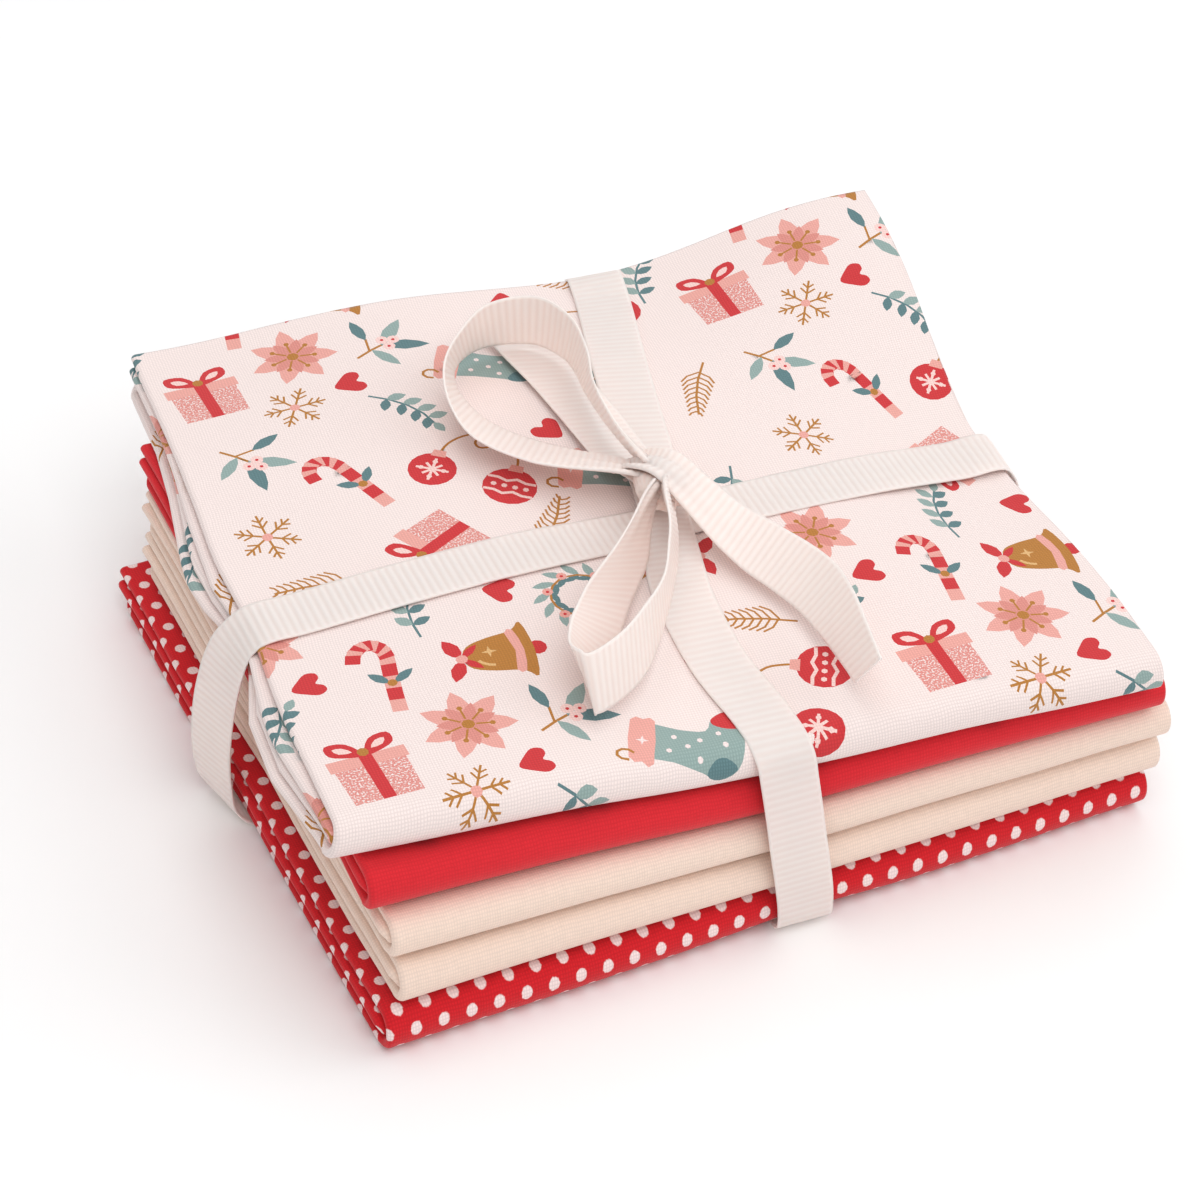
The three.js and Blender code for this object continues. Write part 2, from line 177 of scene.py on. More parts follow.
def settle(points):
    """Moves points of the even pile, in millimetres, to where they lie in the tied bundle."""
    x, y, z = points[..., 0], points[..., 1], points[..., 2]
    share = np.clip(z / STACK_HEIGHT, 0, 1.1)
    from_crossing = np.hypot(x - CROSSING_BENEATH["x"], y - CROSSING_BENEATH["y"])
    rise = CROSSING_BENEATH["rise"] * (1 - share) * bell(from_crossing, CROSSING_BENEATH["reach"])
    for give_x, give_y, height, reach in RISES:
        rise = rise + share * height * bell(np.hypot(x - give_x, y - give_y), reach)
    from_lengthwise = x - (RIBBON_RUNS["x_at_front"] + RIBBON_RUNS["x_slant"] * (y + 60))
    from_crosswise = y - (RIBBON_RUNS["y_at_middle"] + RIBBON_RUNS["y_slant"] * x)
    over_ribbon = np.maximum(bell(from_lengthwise, RIBBON_REACH), bell(from_crosswise, RIBBON_REACH))
    rise = rise - SAG * np.clip(1 - share * 2.5, 0, 1) * (1 - over_ribbon)
    to_right = smooth_step(x, 30, 70) * bell(y - PULL_AT_RIGHT["y"], PULL_AT_RIGHT["reach"])
    to_front = smooth_step(-y, 40, 64) * bell(x - PULL_AT_FRONT["x"], PULL_AT_FRONT["reach"])
    moved_x = x - PULL_AT_RIGHT["by"] * to_right * share**2
    moved_y = y + PULL_AT_FRONT["by"] * to_front * share**2
    return np.stack([moved_x, moved_y, z + rise], axis=-1)


print("The pile's top lies at about", round(TOP, 1), "mm")

# %% [markdown]
# A strip that is halved twice runs in four passes: out, round a big fold, back, round a small
# fold, out again between the first two, round inside the big fold, and back. The same rule gives
# the left-to-right folds and the front-to-back ones: cloth is folded across first, and the packet
# of four plies is then folded the other way as if it were one thick cloth. Blender's cloth
# simulation could fold a sheet too, but sixteen plies lie so close that they would cut through
# one another, and a rule keeps them apart.

# %% The rule of the folds
PLY_PITCH = LAYER_PITCH / 4


def halved_twice(along, pitch, near, far, end_out, end_in):
    """Place, level and normal of points at lengths along a strip that is halved twice.

    near and far are where the bends' centres lie, end_out and end_in where the strip's ends lie."""
    lengths = np.array([
        end_out - near,
        math.pi * 1.5 * pitch,
        far - near,
        math.pi * 0.5 * pitch,
        far - near,
        math.pi * 0.5 * pitch,
        end_in - near,
    ])
    starts = np.concatenate([[0], np.cumsum(lengths)])
    part = np.clip(np.searchsorted(starts, along, side="right") - 1, 0, 6)
    done = along - starts[part]
    share = done / lengths[part]
    turned = [0, math.pi * (0.5 + share), 0, math.pi * (1.5 + share), 0, math.pi * (1.5 - share), 0]
    place = np.choose(part, [
        end_out - done,
        near + 1.5 * pitch * np.cos(turned[1]),
        near + done,
        far + 0.5 * pitch * np.cos(turned[3]),
        far - done,
        near + 0.5 * pitch * np.cos(turned[5]),
        near + done,
    ])
    level = np.choose(part, [
        1.5 * pitch,
        1.5 * pitch * np.sin(turned[1]),
        -1.5 * pitch,
        -pitch + 0.5 * pitch * np.sin(turned[3]),
        -0.5 * pitch,
        0.5 * pitch * np.sin(turned[5]),
        0.5 * pitch,
    ])
    normal_place = np.choose(part, [
        0, np.cos(turned[1]), 0, np.cos(turned[3]), 0, -np.cos(turned[5]), 0,
    ])
    normal_level = np.choose(part, [
        1, np.sin(turned[1]), -1, np.sin(turned[3]), 1, -np.sin(turned[5]), -1,
    ])
    return place, level, normal_place, normal_level, part, starts


print("One ply takes up", round(PLY_PITCH, 2), "mm")

# %% [markdown]
# Each cloth is a real sheet, folded by the rule above, once across and once along. No fold is
# perfect: every packet lies a little to one side, edges run unevenly, and the surface has slow,
# low waves.

# %% The five cloths and their folding
# name, folded width and depth, centre x and y, turn in degrees, seed of its unevenness
CLOTHS = [
    ("cloth_dotted", 139, 117, -1.9, -7.9, 6.2, 3),
    ("cloth_cream_lower", 137, 114, 0.5, -9.1, 5.5, 5),
    ("cloth_cream_upper", 138, 114, 1.1, -8.6, 4.5, 8),
    ("cloth_red", 138, 114, 0.2, -7.2, 3.0, 12),
    ("cloth_print", 137.5, 125.5, 0.3, -1.0, -0.3, 21),
]

# How far the left fold of each front-to-back pass lies in from the widest one.
LEFT_GAPS = {"cloth_print": (0.2, 0.6, 1.3, 0.0)}
USUAL_LEFT_GAPS = (0.9, 0.6, 1.3, 0.0)
# How far the lower passes of the top cloth have slid out to the left, pass by pass.
LEFT_SLIDES = {"cloth_print": (-1.0, -6.0, -5.2, -3.0)}
BACK_GAPS = {"out": 0.0, "far": 2.1, "in": 1.2}
RIGHT_GAPS = {"out": 0.3, "far": 1.4, "in": 0.9}


def slow_waves(x, y, seed, lengths, height):
    """A low, irregular relief: a few waves of the given lengths in random directions."""
    draw = np.random.default_rng(seed)
    relief = np.zeros(np.broadcast(x, y).shape)
    for length in lengths:
        for _ in range(3):
            angle = draw.uniform(0, 2 * math.pi)
            phase = draw.uniform(0, 2 * math.pi)
            run = (x * math.cos(angle) + y * math.sin(angle)) * 2 * math.pi / length
            relief += np.sin(run + phase) * length / lengths[0]
    return height * relief / (3 * len(lengths))


def pass_by_pass(values, lengths_along, part, starts):
    """A value for each of the four passes, carried smoothly round the bends between them."""
    share = (lengths_along - starts[part]) / np.diff(starts)[part]
    share = np.where(part % 2 == 1, share * share * (3 - 2 * share), 0)
    values = np.array(values, dtype=float)
    before = values[part // 2]
    after = values[np.minimum(part // 2 + 1, 3)]
    return before * (1 - share) + after * share


def pile_waves(x, y):
    """The waves that run through the whole pile."""
    return slow_waves(x, y, 40, (55, 34, 22), 0.45)


def bend_places(size, pitch, gaps):
    """What halved_twice wants to know of a strip that is folded to the given size."""
    half = size / 2
    return pitch, 2 * pitch - half, half - gaps["far"] - pitch, half - gaps["out"], half - gaps["in"]


def slid_out(along, slide):
    """How far the slid passes come out to the left: most behind the crosswise ribbon."""
    slide = slide * (0.3 + 0.7 * smooth_step(-along, -45, 0)) * (1 - 0.6 * smooth_step(-along, 35, 62))
    return slide * (1 - 0.75 * bell(along + 13, 12))


def fold_cloth(u, v, cloth):
    """Folds points of the flat sheet, u across and v along in millimetres, into the bundle."""
    name, width, depth, centre_x, centre_y, turn_deg, seed = cloth
    along, level, side_along, side_level, part_v, starts_v = halved_twice(
        v, *bend_places(depth, LAYER_PITCH, BACK_GAPS))
    across, ply, _, _, part_u, _ = halved_twice(
        u, *bend_places(width, PLY_PITCH, RIGHT_GAPS))
    # Each pass takes its waves from another stretch of them, so that no two edges run alike.
    to_side = pass_by_pass(LEFT_GAPS.get(name, USUAL_LEFT_GAPS), v, part_v, starts_v)
    to_side = to_side + 0.5 * slow_waves(along, 11.0 * (part_v // 2), seed, (60, 27), 1.0)
    slide = pass_by_pass(LEFT_SLIDES.get(name, (0, 0, 0, 0)), v, part_v, starts_v)
    to_side = to_side + slid_out(along, slide) * np.clip(0.5 - across / width, 0, 1)
    x = across + to_side + 0.35 * slow_waves(along, 7.0 * (part_u // 2), seed + 1, (40, 18), 1.0)
    y = along + side_along * ply + 0.4 * slow_waves(x, 5.0 * (part_v // 2), seed + 2, (70, 31), 1.0)
    z = 2 * LAYER_PITCH + level + side_level * ply
    turn_rad = math.radians(turn_deg)
    order = [row[0] for row in CLOTHS].index(name)
    placed = np.stack([
        centre_x + x * math.cos(turn_rad) - y * math.sin(turn_rad),
        centre_y + x * math.sin(turn_rad) + y * math.cos(turn_rad),
        STACK_BASE + order * CLOTH_PITCH + z,
    ], axis=-1)
    placed[..., 2] += pile_waves(placed[..., 0], placed[..., 1])
    return settle(placed) + PILE_ORIGIN


def fold_starts(cloth):
    """Where the parts of the folded sheet start, across and along; the last ones are its size."""
    _, width, depth, *_ = cloth
    start = np.zeros(1)
    starts_u = halved_twice(start, *bend_places(width, PLY_PITCH, RIGHT_GAPS))[-1]
    starts_v = halved_twice(start, *bend_places(depth, LAYER_PITCH, BACK_GAPS))[-1]
    return starts_u, starts_v


print("From the bottom up:", *[cloth[0] for cloth in CLOTHS])

# %% [markdown]
# A sheet starts flat, as a grid of points, and each point is then folded. The grid's lines lie
# close together where the cloth bends and where it shows, and far apart in the hidden passes.
# Solidify gives the sheet the thickness of quilting cotton. A second map serves the baking of
# colours: it gives what is seen the most room.

# %% Cloth from a grid of points
CLOTH_THICKNESS = 0.27
FINE, COARSE = 60, 8
U_BENDS = [8, COARSE, 6, COARSE, 6, COARSE]
V_BENDS = [16, COARSE, 8, COARSE, 8, COARSE]
PRINT_STEPS = [FINE, *U_BENDS], [FINE, *V_BENDS]
PLAIN_STEPS = [30, *U_BENDS], [20, *V_BENDS]
EDGE_ZONE = 3.0
# What shows is one pass each way and this much more along; the baking map gives it these shares.
SHOWN_PAST_FOLD = 8
SEEN_SHARES = (0.7, 0.62)
# So many millimetres of flat cloth are one unit of its map.
UV_UNIT = 10.0


def grid_lines(starts, steps):
    """Grid lines along the sheet: evenly in each part, closer together near its ends."""
    lines = []
    for first, last, count in zip(starts[:-1], starts[1:], steps):
        if last - first < 4 * EDGE_ZONE:
            lines.append(np.linspace(first, last, count + 1)[:-1])
            continue
        close = np.array([0, 0.12, 0.3, 0.6, 1.0]) * EDGE_ZONE
        middle = np.linspace(first + EDGE_ZONE, last - EDGE_ZONE, count + 1)[1:-1]
        lines.append(np.concatenate([first + close, middle, last - close[:0:-1]]))
    return np.concatenate(lines + [[starts[-1]]])


def flat_grid(cloth, steps):
    """The starts of the sheet's parts, its grid lines, its grid points and their numbers."""
    starts = fold_starts(cloth)
    lines = [grid_lines(*side) for side in zip(starts, steps)]
    points = np.stack(np.meshgrid(*lines, indexing="ij"), axis=-1)
    return starts, lines, points.reshape(-1, 2), np.arange(points[..., 0].size).reshape(points.shape[:2])


def sheet_mesh(name, points, faces, flat_points, flat_faces=None):
    """A mesh that keeps the flat cloth's coordinates, from flat_faces where a seam parts them."""
    mesh = bpy.data.meshes.new(name)
    mesh.from_pydata((points * MM).tolist(), [], faces)
    uv = mesh.uv_layers.new(name="flat_cloth")
    corner_points = np.empty(len(mesh.loops), dtype=np.int32)
    mesh.loops.foreach_get("vertex_index", corner_points)
    if flat_faces is not None:
        corner_points = flat_faces.ravel()
    uv.data.foreach_set("uv", (flat_points[corner_points] / UV_UNIT).ravel())
    mesh.shade_smooth()
    piece = bpy.data.objects.new(name, mesh)
    bpy.context.collection.objects.link(piece)
    return piece


def give_thickness(piece, thickness):
    bpy.ops.object.select_all(action="DESELECT")
    piece.select_set(True)
    bpy.context.view_layer.objects.active = piece
    solidify = piece.modifiers.new("cotton", "SOLIDIFY")
    solidify.thickness = thickness * MM
    solidify.offset = 0
    solidify.use_even_offset = False
    bpy.ops.object.modifier_apply(modifier=solidify.name)


def baking_map(piece, corner_count, face_count, starts):
    """A second map for baking, which gives the part that is seen the most room.

    The outer side fills the lower part, the inner side a strip above it, and the cut edge, whose
    faces have no width of their own on the flat cloth, a rim just outside the sheet."""
    mesh = piece.data
    seen = starts[0][2], starts[1][2] + SHOWN_PAST_FOLD
    whole = starts[0][-1], starts[1][-1]
    flat = np.empty(len(mesh.loops) * 2)
    mesh.uv_layers["flat_cloth"].data.foreach_get("uv", flat)
    flat = flat.reshape(-1, 2) * UV_UNIT
    points = np.empty(len(mesh.loops), dtype=np.int32)
    mesh.loops.foreach_get("vertex_index", points)
    sizes = np.empty(len(mesh.polygons), dtype=np.int32)
    mesh.polygons.foreach_get("loop_total", sizes)
    face = np.repeat(np.arange(len(mesh.polygons)), sizes)
    place = np.empty_like(flat)
    for axis, share in enumerate(SEEN_SHARES):
        place[:, axis] = np.interp(flat[:, axis], (0, seen[axis], whole[axis]), (0.01, share, 0.99))
    on_rim = (face >= 2 * face_count) & (points >= corner_count)
    for axis in range(2):
        place[on_rim & (flat[:, axis] < 0.01), axis] -= 0.004
        place[on_rim & (flat[:, axis] > whole[axis] - 0.01), axis] += 0.004
    inner = (face >= face_count) & (face < 2 * face_count)
    place[:, 1] = np.where(inner, 0.89 + 0.1 * place[:, 1], 0.88 * place[:, 1])
    bake = mesh.uv_layers.new(name="OFBake")
    bake.data.foreach_set("uv", place.ravel())


def finish_cloth(piece, starts, corner_count, face_count):
    give_thickness(piece, CLOTH_THICKNESS)
    baking_map(piece, corner_count, face_count, starts)
    size = " x ".join(str(round(side[-1])) for side in starts)
    print(piece.name, "is", size, "mm flat, with", face_count, "faces")
    return piece


def plain_cloth(cloth):
    starts, _, flat_points, index = flat_grid(cloth, PLAIN_STEPS)
    corners = index[:-1, :-1], index[:-1, 1:], index[1:, 1:], index[1:, :-1]
    faces = np.stack(corners, axis=-1).reshape(-1, 4)
    points = fold_cloth(*flat_points.T, cloth)
    piece = sheet_mesh(cloth[0] + "_sheet", points, faces.tolist(), flat_points)
    return finish_cloth(piece, starts, len(points), len(faces))


cloth_pieces = [plain_cloth(cloth) for cloth in CLOTHS[:4]]

# %% [markdown]
# The top cloth is printed. Each motif is drawn flat, in millimetres, as a list of coloured marks:
# later marks lie over earlier ones, as inks do. A few helpers draw smooth outlines, leaves, discs,
# thin lines and pointed stars.

# %% Helpers for drawing motifs
def polar(radius, angle, x=0.0, y=0.0):
    return x + radius * math.cos(angle), y + radius * math.sin(angle)


def turned(points, x, y, turn_deg, size=1.0):
    turn_rad = math.radians(turn_deg)
    cosine, sine = size * math.cos(turn_rad), size * math.sin(turn_rad)
    return [(x + cosine * px - sine * py, y + sine * px + cosine * py) for px, py in points]


def outline(points, smooth=3, closed=True):
    """A smooth line through the points, closed or open."""
    row = np.array([points[-1], *points, *points[:2]] if closed else [points[0], *points, points[-1]])
    line = []
    for before, start, end, after in zip(row, row[1:], row[2:], row[3:]):
        for step in range(smooth):
            t = step / smooth
            line.append(tuple(0.5 * (2 * start + (end - before) * t
                                     + (2 * before - 5 * start + 4 * end - after) * t * t
                                     + (3 * start - before - 3 * end + after) * t**3)))
    return line


def disc(x, y, radius, corners=8):
    return [polar(radius, 2 * math.pi * k / corners, x, y) for k in range(corners)]


def star(x, y, points, outer, inner):
    return [polar(inner if k % 2 else outer, math.pi * k / points, x, y) for k in range(2 * points)]


def arc(x, y, radius_x, radius_y, first_deg, last_deg, steps):
    return [(x + radius_x * math.cos(math.radians(a)), y + radius_y * math.sin(math.radians(a)))
            for a in np.linspace(first_deg, last_deg, steps + 1)]


def leaf(x, y, direction_deg, length, width):
    half = width / 2
    shape = [(0, 0), (0.22, 0.7), (0.5, 1), (0.78, 0.65), (1, 0), (0.78, -0.65), (0.5, -1), (0.22, -0.7)]
    return turned([(length * a, half * b) for a, b in shape], x, y, direction_deg)


def stroke(ink, points, width):
    """A thin drawn line, as one slim four-sided mark for each of its parts."""
    marks = []
    for (x0, y0), (x1, y1) in zip(points[:-1], points[1:]):
        run = max(math.hypot(x1 - x0, y1 - y0), 1e-6)
        ux, uy = (x1 - x0) / run, (y1 - y0) / run
        e, h = 0.2 * width, width / 2
        marks.append((ink, [
            (x0 - e * ux - h * uy, y0 - e * uy + h * ux), (x0 - e * ux + h * uy, y0 - e * uy - h * ux),
            (x1 + e * ux + h * uy, y1 + e * uy - h * ux), (x1 + e * ux - h * uy, y1 + e * uy + h * ux),
        ]))
    return marks


print("Motifs are drawn from outlines, discs, stars, arcs, leaves and strokes")

# %% [markdown]
# The print is a Christmas one: stockings, bells, baubles on a string and wrapped presents, in red,
# pink, grey-green and ochre.

# %% Stocking, bell, baubles and present
def stocking():
    sock = outline([(-2.9, 7), (-3, 2.5), (-3.1, -1.8), (-3.4, -4.6), (-1.6, -6.6), (2.2, -7), (5.8, -6.6),
                    (7.2, -4.4), (5.6, -2.4), (3, -1.6), (2.7, 2), (3, 7)])
    toe = outline([(4.4, -6.85), (5.8, -6.6), (7.2, -4.4), (5.6, -2.4), (4.4, -2.6), (3.9, -4.6)])
    heel = outline([(-3.15, -2.4), (-1.4, -3), (-0.7, -4.6), (-1.5, -6.55), (-3.4, -4.6)])
    cuff = outline([(-3.9, 5.2), (3.8, 5.2), (4, 6.8), (3.7, 8.5), (-3.7, 8.5), (-4, 6.8)], 2)
    spots = [(-1.5, 3.2), (1.2, 2.6), (-0.3, 0.7), (-1.8, -1), (1.1, -0.9), (0.9, -4.4), (2.8, -3.4)]
    marks = [("teal", sock), ("red", toe), ("deep", heel), ("pink", cuff)]
    marks += [("white", disc(x, y, 0.42, 6)) for x, y in spots]
    marks.append(("white", star(-0.1, 6.8, 4, 0.9, 0.3)))
    return marks + stroke("ochre", arc(-3.2, 8.9, 1, 1.2, -60, 200, 6), 0.4)


def hand_bell():
    body = outline([(-5.4, -4.2), (-4, -2.6), (-3.3, 1), (-2.2, 3.9), (0, 4.9), (2.2, 3.9), (3.3, 1),
                    (4, -2.6), (5.4, -4.2), (0, -5)])
    band = outline([(-4.1, -2.9), (0, -3.6), (4.1, -2.9), (3.7, -1.7), (0, -2.4), (-3.7, -1.7)], 2)
    bow = [(0.2, 25, 4.4, 2.2), (-0.2, 155, 4.4, 2.2), (0.1, -48, 3.4, 1.2), (-0.1, 228, 3.4, 1.2)]
    marks = [("red", disc(0, -5.4, 1.35, 10)), ("ochre", body), ("pink", band)]
    marks += stroke("light", arc(0, 0.2, 2.2, 2.9, 115, 165, 3), 0.45)
    marks.append(("light", star(0.6, 1.1, 4, 1.1, 0.35)))
    marks += [("red", leaf(x, 5, *shape)) for x, *shape in bow]
    return marks + [("pink", disc(0, 5, 0.85))]


def bauble(x, y, radius, with_crystal):
    marks = [("red", disc(x, y, radius, 18))]
    if with_crystal:
        for k in range(4):
            dx, dy = polar(radius * (0.45 if k % 2 else 0.66), math.pi * k / 4)
            marks += stroke("blush", [(x - dx, y - dy), (x + dx, y + dy)], 0.42)
        spots = [polar(0.47 * radius, math.pi * k / 2, x, y) for k in range(4)]
        return marks + [("blush", disc(*spot, 0.42, 6)) for spot in spots]
    for across in (-0.36, 0.36):
        half = radius * math.sqrt(1 - across**2) * 0.94
        row = [(x + half * t, y + across * radius + 0.35 * math.sin(6 * t)) for t in np.linspace(-1, 1, 6)]
        marks += stroke("blush", row, 0.5)
    return marks + [("blush", disc(x + radius * t, y, 0.45, 6)) for t in (-0.6, -0.2, 0.2, 0.6)]


def bauble_pair():
    string = [(-5.2, 1.6), (-4.6, 4), (-3, 6.2), (-0.8, 7.4), (1, 6.6), (1.2, 5), (-0.2, 4.4), (-1, 5.6),
              (0.4, 7.2), (3, 6.9), (5.1, 5.2), (5.9, 3), (6.1, 1.6)]
    marks = stroke("ochre", outline(string, closed=False), 0.38)
    marks += bauble(-5.3, -2.2, 3.5, True) + bauble(6.1, -2.6, 3.9, False)
    for x, y in [(-5.25, 1.3), (6.1, 1.3)]:
        cap = [(x - 1.1, y - 0.6), (x + 1.1, y - 0.6), (x + 0.9, y + 0.8), (x - 0.9, y + 0.8)]
        marks.append(("pink", cap))
    return marks


def gift():
    loop = [(0, 3.6), (1.6, 6.4), (4.3, 6.8), (4.4, 4.8), (2, 3.7)]
    eye = [(1.3, 4.6), (2.3, 5.8), (3.6, 5.9), (3, 4.8)]
    marks = [
        ("speckled", [(-4.7, -5), (4.7, -5), (4.9, 2), (-4.9, 2)]),
        ("pink", [(-5.4, 1.6), (5.4, 1.6), (5.4, 3.7), (-5.4, 3.7)]),
        ("red", [(-0.9, -5), (0.9, -5), (0.9, 3.7), (-0.9, 3.7)]),
    ]
    for ink, shape, smooth in (("red", loop, 3), ("blush", eye, 2)):
        for side in (1, -1):
            marks.append((ink, outline([(side * x, y) for x, y in shape], smooth)))
    return marks + [("ochre", disc(0, 4.2, 0.8))]


print("The stocking has", len(stocking()), "marks")

# %% [markdown]
# Between them lie canes, flowers and mistletoe.

# %% Cane, poinsettia and mistletoe
def candy_cane():
    middle = [(0, -7), (0, -4.6), (0, -2.2), (0, 0.2), (0, 2.6), *arc(-2.3, 3.4, 2.3, 3, 8, 178, 9)]
    marks = []
    for number, ends in enumerate(zip(middle[:-1], middle[1:])):
        marks += stroke("red" if number % 2 else "pink", ends, 2.1)
    marks += [("deep", leaf(0.3, -1.6, 40, 3.6, 1.5)), ("deep", leaf(-0.3, -1.6, 140, 3.6, 1.5))]
    return marks + [("ochre", disc(0, -1.6, 0.7))]


def poinsettia():
    marks = [("pink", leaf(0, 0, 360 * k / 7 + 8, 6.6, 3.1)) for k in range(7)]
    marks += [("coral", leaf(0, 0, 360 * (k + 0.5) / 7 + 8, 4.2, 1.9)) for k in range(7)]
    for k in range(7):
        angle = math.radians(360 * k / 7 + 8)
        marks += stroke("ochre", [polar(1.1, angle), polar(3.1, angle)], 0.3)
        marks.append(("ochre", disc(*polar(3.2, angle), 0.42, 6)))
    return marks + [("ochre", disc(0, 0, 0.9))]


def mistletoe():
    marks = stroke("ochre", [(-0.2, 6), (0, 3.6), (0, 1.2)], 0.42)
    marks += stroke("ochre", [(0, 3.6), (2.6, 2.2)], 0.36)
    marks += [
        ("deep", leaf(0, 1.4, -125, 7.2, 2.4)),
        ("teal", leaf(0, 1.4, -62, 7, 2.3)),
        ("teal", leaf(0, 3.2, -170, 5.6, 1.9)),
        ("deep", leaf(2.4, 2.3, -12, 5.2, 1.9)),
    ]
    for x, y in [(-0.9, 0.6), (0.9, 0.5), (0, -0.9)]:
        marks += [("blush", disc(x, y, 0.95, 9)), ("red", disc(x, y, 0.3, 5))]
    return marks


print("The poinsettia has", len(poinsettia()), "marks")

# %% [markdown]
# The smaller motifs fill the gaps: a wreath, sprigs, a snow crystal and a heart.

# %% Wreath, sprigs, crystal and heart
def wreath():
    marks = []
    for k in range(13):
        angle = 360 * k / 13
        x, y = polar(4.2, math.radians(angle))
        marks.append(("teal", leaf(x, y, angle + 52, 3.4, 1.35)))
        marks.append(("deep", leaf(0.96 * x, 0.96 * y, angle + 122, 2.7, 1.0)))
    marks += stroke("ochre", arc(0, 0, 4.2, 4.2, 0, 360, 18), 0.34)
    for k in (1, 3.2, 5, 7.4, 9.1, 11.3):
        berry = polar(4.6, 2 * math.pi * k / 13)
        marks += [("pink", disc(*berry, 0.78)), ("red", disc(*berry, 0.28, 5))]
    bow = [(0.1, 20, 3.2, 1.8), (-0.1, 160, 3.2, 1.8), (0, -65, 2.8, 1.1), (0, -115, 2.8, 1.1)]
    return marks + [("red", leaf(x, -4.6, *shape)) for x, *shape in bow]


def eucalyptus():
    marks = stroke("deep", [(-6.4, -1.4), (-3.6, -0.3), (-0.6, 0.3), (2.4, 0.2), (5, -0.6)], 0.36)
    for x, y in [(-3.9, -0.4), (-1.4, 0.2), (1.1, 0.3), (3.4, 0)]:
        marks += [("teal", leaf(x, y, 58, 3, 1.7)), ("deep", leaf(x, y, -58, 2.8, 1.6))]
    return marks + [("teal", leaf(4.8, -0.5, -14, 2.6, 1.5))]


def fern():
    marks = stroke("ochre", [(-6.2, 0.7), (-2, 0.1), (2, 0), (6, 0.5)], 0.36)
    for k in range(9):
        x = -3.8 + 1.15 * k
        reach = 3 * (1 - 0.075 * k)
        for side in (-1, 1):
            knee = (x + 0.35 * reach, 0.1 + side * 0.55 * reach)
            tip = (x + 0.8 * reach, 0.1 + side * 0.8 * reach)
            marks += stroke("ochre", [(x, 0.1), knee, tip], 0.3)
    return marks


def snow_crystal():
    marks = []
    for k in range(6):
        angle = math.radians(60 * k + 15)
        marks += stroke("ochre", [(0, 0), polar(4.6, angle)], 0.34)
        for side in (-0.8, 0.8):
            for start, reach in ((2, 1.5), (3.2, 1.1)):
                fork = polar(start, angle)
                marks += stroke("ochre", [fork, polar(reach, angle + side, *fork)], 0.3)
    return marks + [("pink", disc(0, 0, 0.8))]


def heart():
    return [("red", outline([
        (0, -2.4), (1.5, -0.9), (2.4, 0.6), (1.9, 1.9), (0.8, 1.9),
        (0, 1.1), (-0.8, 1.9), (-1.9, 1.9), (-2.4, 0.6), (-1.5, -0.9),
    ]))]


print("The wreath has", len(wreath()), "marks")

# %% [markdown]
# Printed cotton repeats. The motifs of one repeat are tossed in it at random, and each then pushes
# away the ones that stand in its room, and its own kind from farther off, until all lie clear.
# Those near an edge of the repeat run on into the next one, so the distances go round it too.

# %% One repeat of the print
REPEAT = (94.0, 98.0)
MOTIF_SCALE = 1.18
ALIKE_APART = 34.0
PUSHES = 600
PUSH_STRENGTH = 0.25
FIRST_SHAKE = 1.5

# the motif's marks, how many of it are in a repeat, and the radius of the room that each takes up
MOTIFS = [
    (stocking(), 2, 10.6),
    (hand_bell(), 2, 8.6),
    (bauble_pair(), 2, 11),
    (gift(), 2, 9),
    (candy_cane(), 2, 8.4),
    (poinsettia(), 2, 8.2),
    (wreath(), 2, 8.4),
    (mistletoe(), 2, 8.6),
    (eucalyptus(), 4, 7.8),
    (fern(), 4, 7.4),
    (snow_crystal(), 2, 6.4),
    (heart(), 5, 4.6),
]


def tossed_motifs(seed):
    """The marks of each motif in a repeat, its x and y in millimetres, and its turn in degrees."""
    dice = np.random.default_rng(seed)
    drawings, counts, rooms = zip(*MOTIFS)
    kinds = np.repeat(np.arange(len(MOTIFS)), counts)
    rooms = np.array(rooms)[kinds]
    wanted = np.where(kinds[:, None] == kinds, ALIKE_APART, rooms[:, None] + rooms)
    places = dice.uniform(0, 1, (len(kinds), 2)) * REPEAT
    for push in range(PUSHES):
        apart = places[:, None] - places
        apart -= np.round(apart / REPEAT) * REPEAT
        distance = np.linalg.norm(apart, axis=-1) + 10 * ALIKE_APART * np.eye(len(kinds))
        strength = PUSH_STRENGTH * np.maximum(wanted - distance, 0) / distance
        shake = FIRST_SHAKE * max(1 - 2 * push / PUSHES, 0)
        places = places + (apart * strength[..., None]).sum(axis=1) + dice.normal(0, shake, places.shape)
    turns = dice.uniform(0, 360, len(kinds))
    return [(drawings[kind], *place, turn) for kind, place, turn in zip(kinds, places % REPEAT, turns)]


PLACED_MOTIFS = tossed_motifs(seed=9)
print("One repeat has", len(PLACED_MOTIFS), "motifs on", REPEAT[0], "x", REPEAT[1], "mm")

# %% [markdown]
# The motifs that show are laid over the flat sheet. A triangulation joins them with the folding
# grid, so that each ink edge is a true edge of the mesh, crisp at any distance. Lines of the grid
# in the tight folds are kept as they are, since no face may bridge a fold. An image could carry
# the print instead, but seen from near it would blur.

# %% The printed cloth
INKS = {
    "ground": (245, 229, 225), "teal": (150, 172, 168), "deep": (98, 130, 134), "red": (208, 58, 62),
    "pink": (236, 170, 160), "coral": (222, 146, 136), "blush": (248, 212, 206), "white": (246, 228, 226),
    "light": (228, 184, 126), "ochre": (186, 126, 60), "speckled": (226, 148, 140),
}
SEEN_REACH = 2.5
FOLDS = (1, 3, 5)


def linear(colour):
    """A colour given as on a screen, 0 to 255, as the linear light that Blender works in."""
    share = np.array(colour, dtype=float) / 255
    return np.where(share > 0.04045, ((share + 0.055) / 1.055) ** 2.4, share / 12.92)


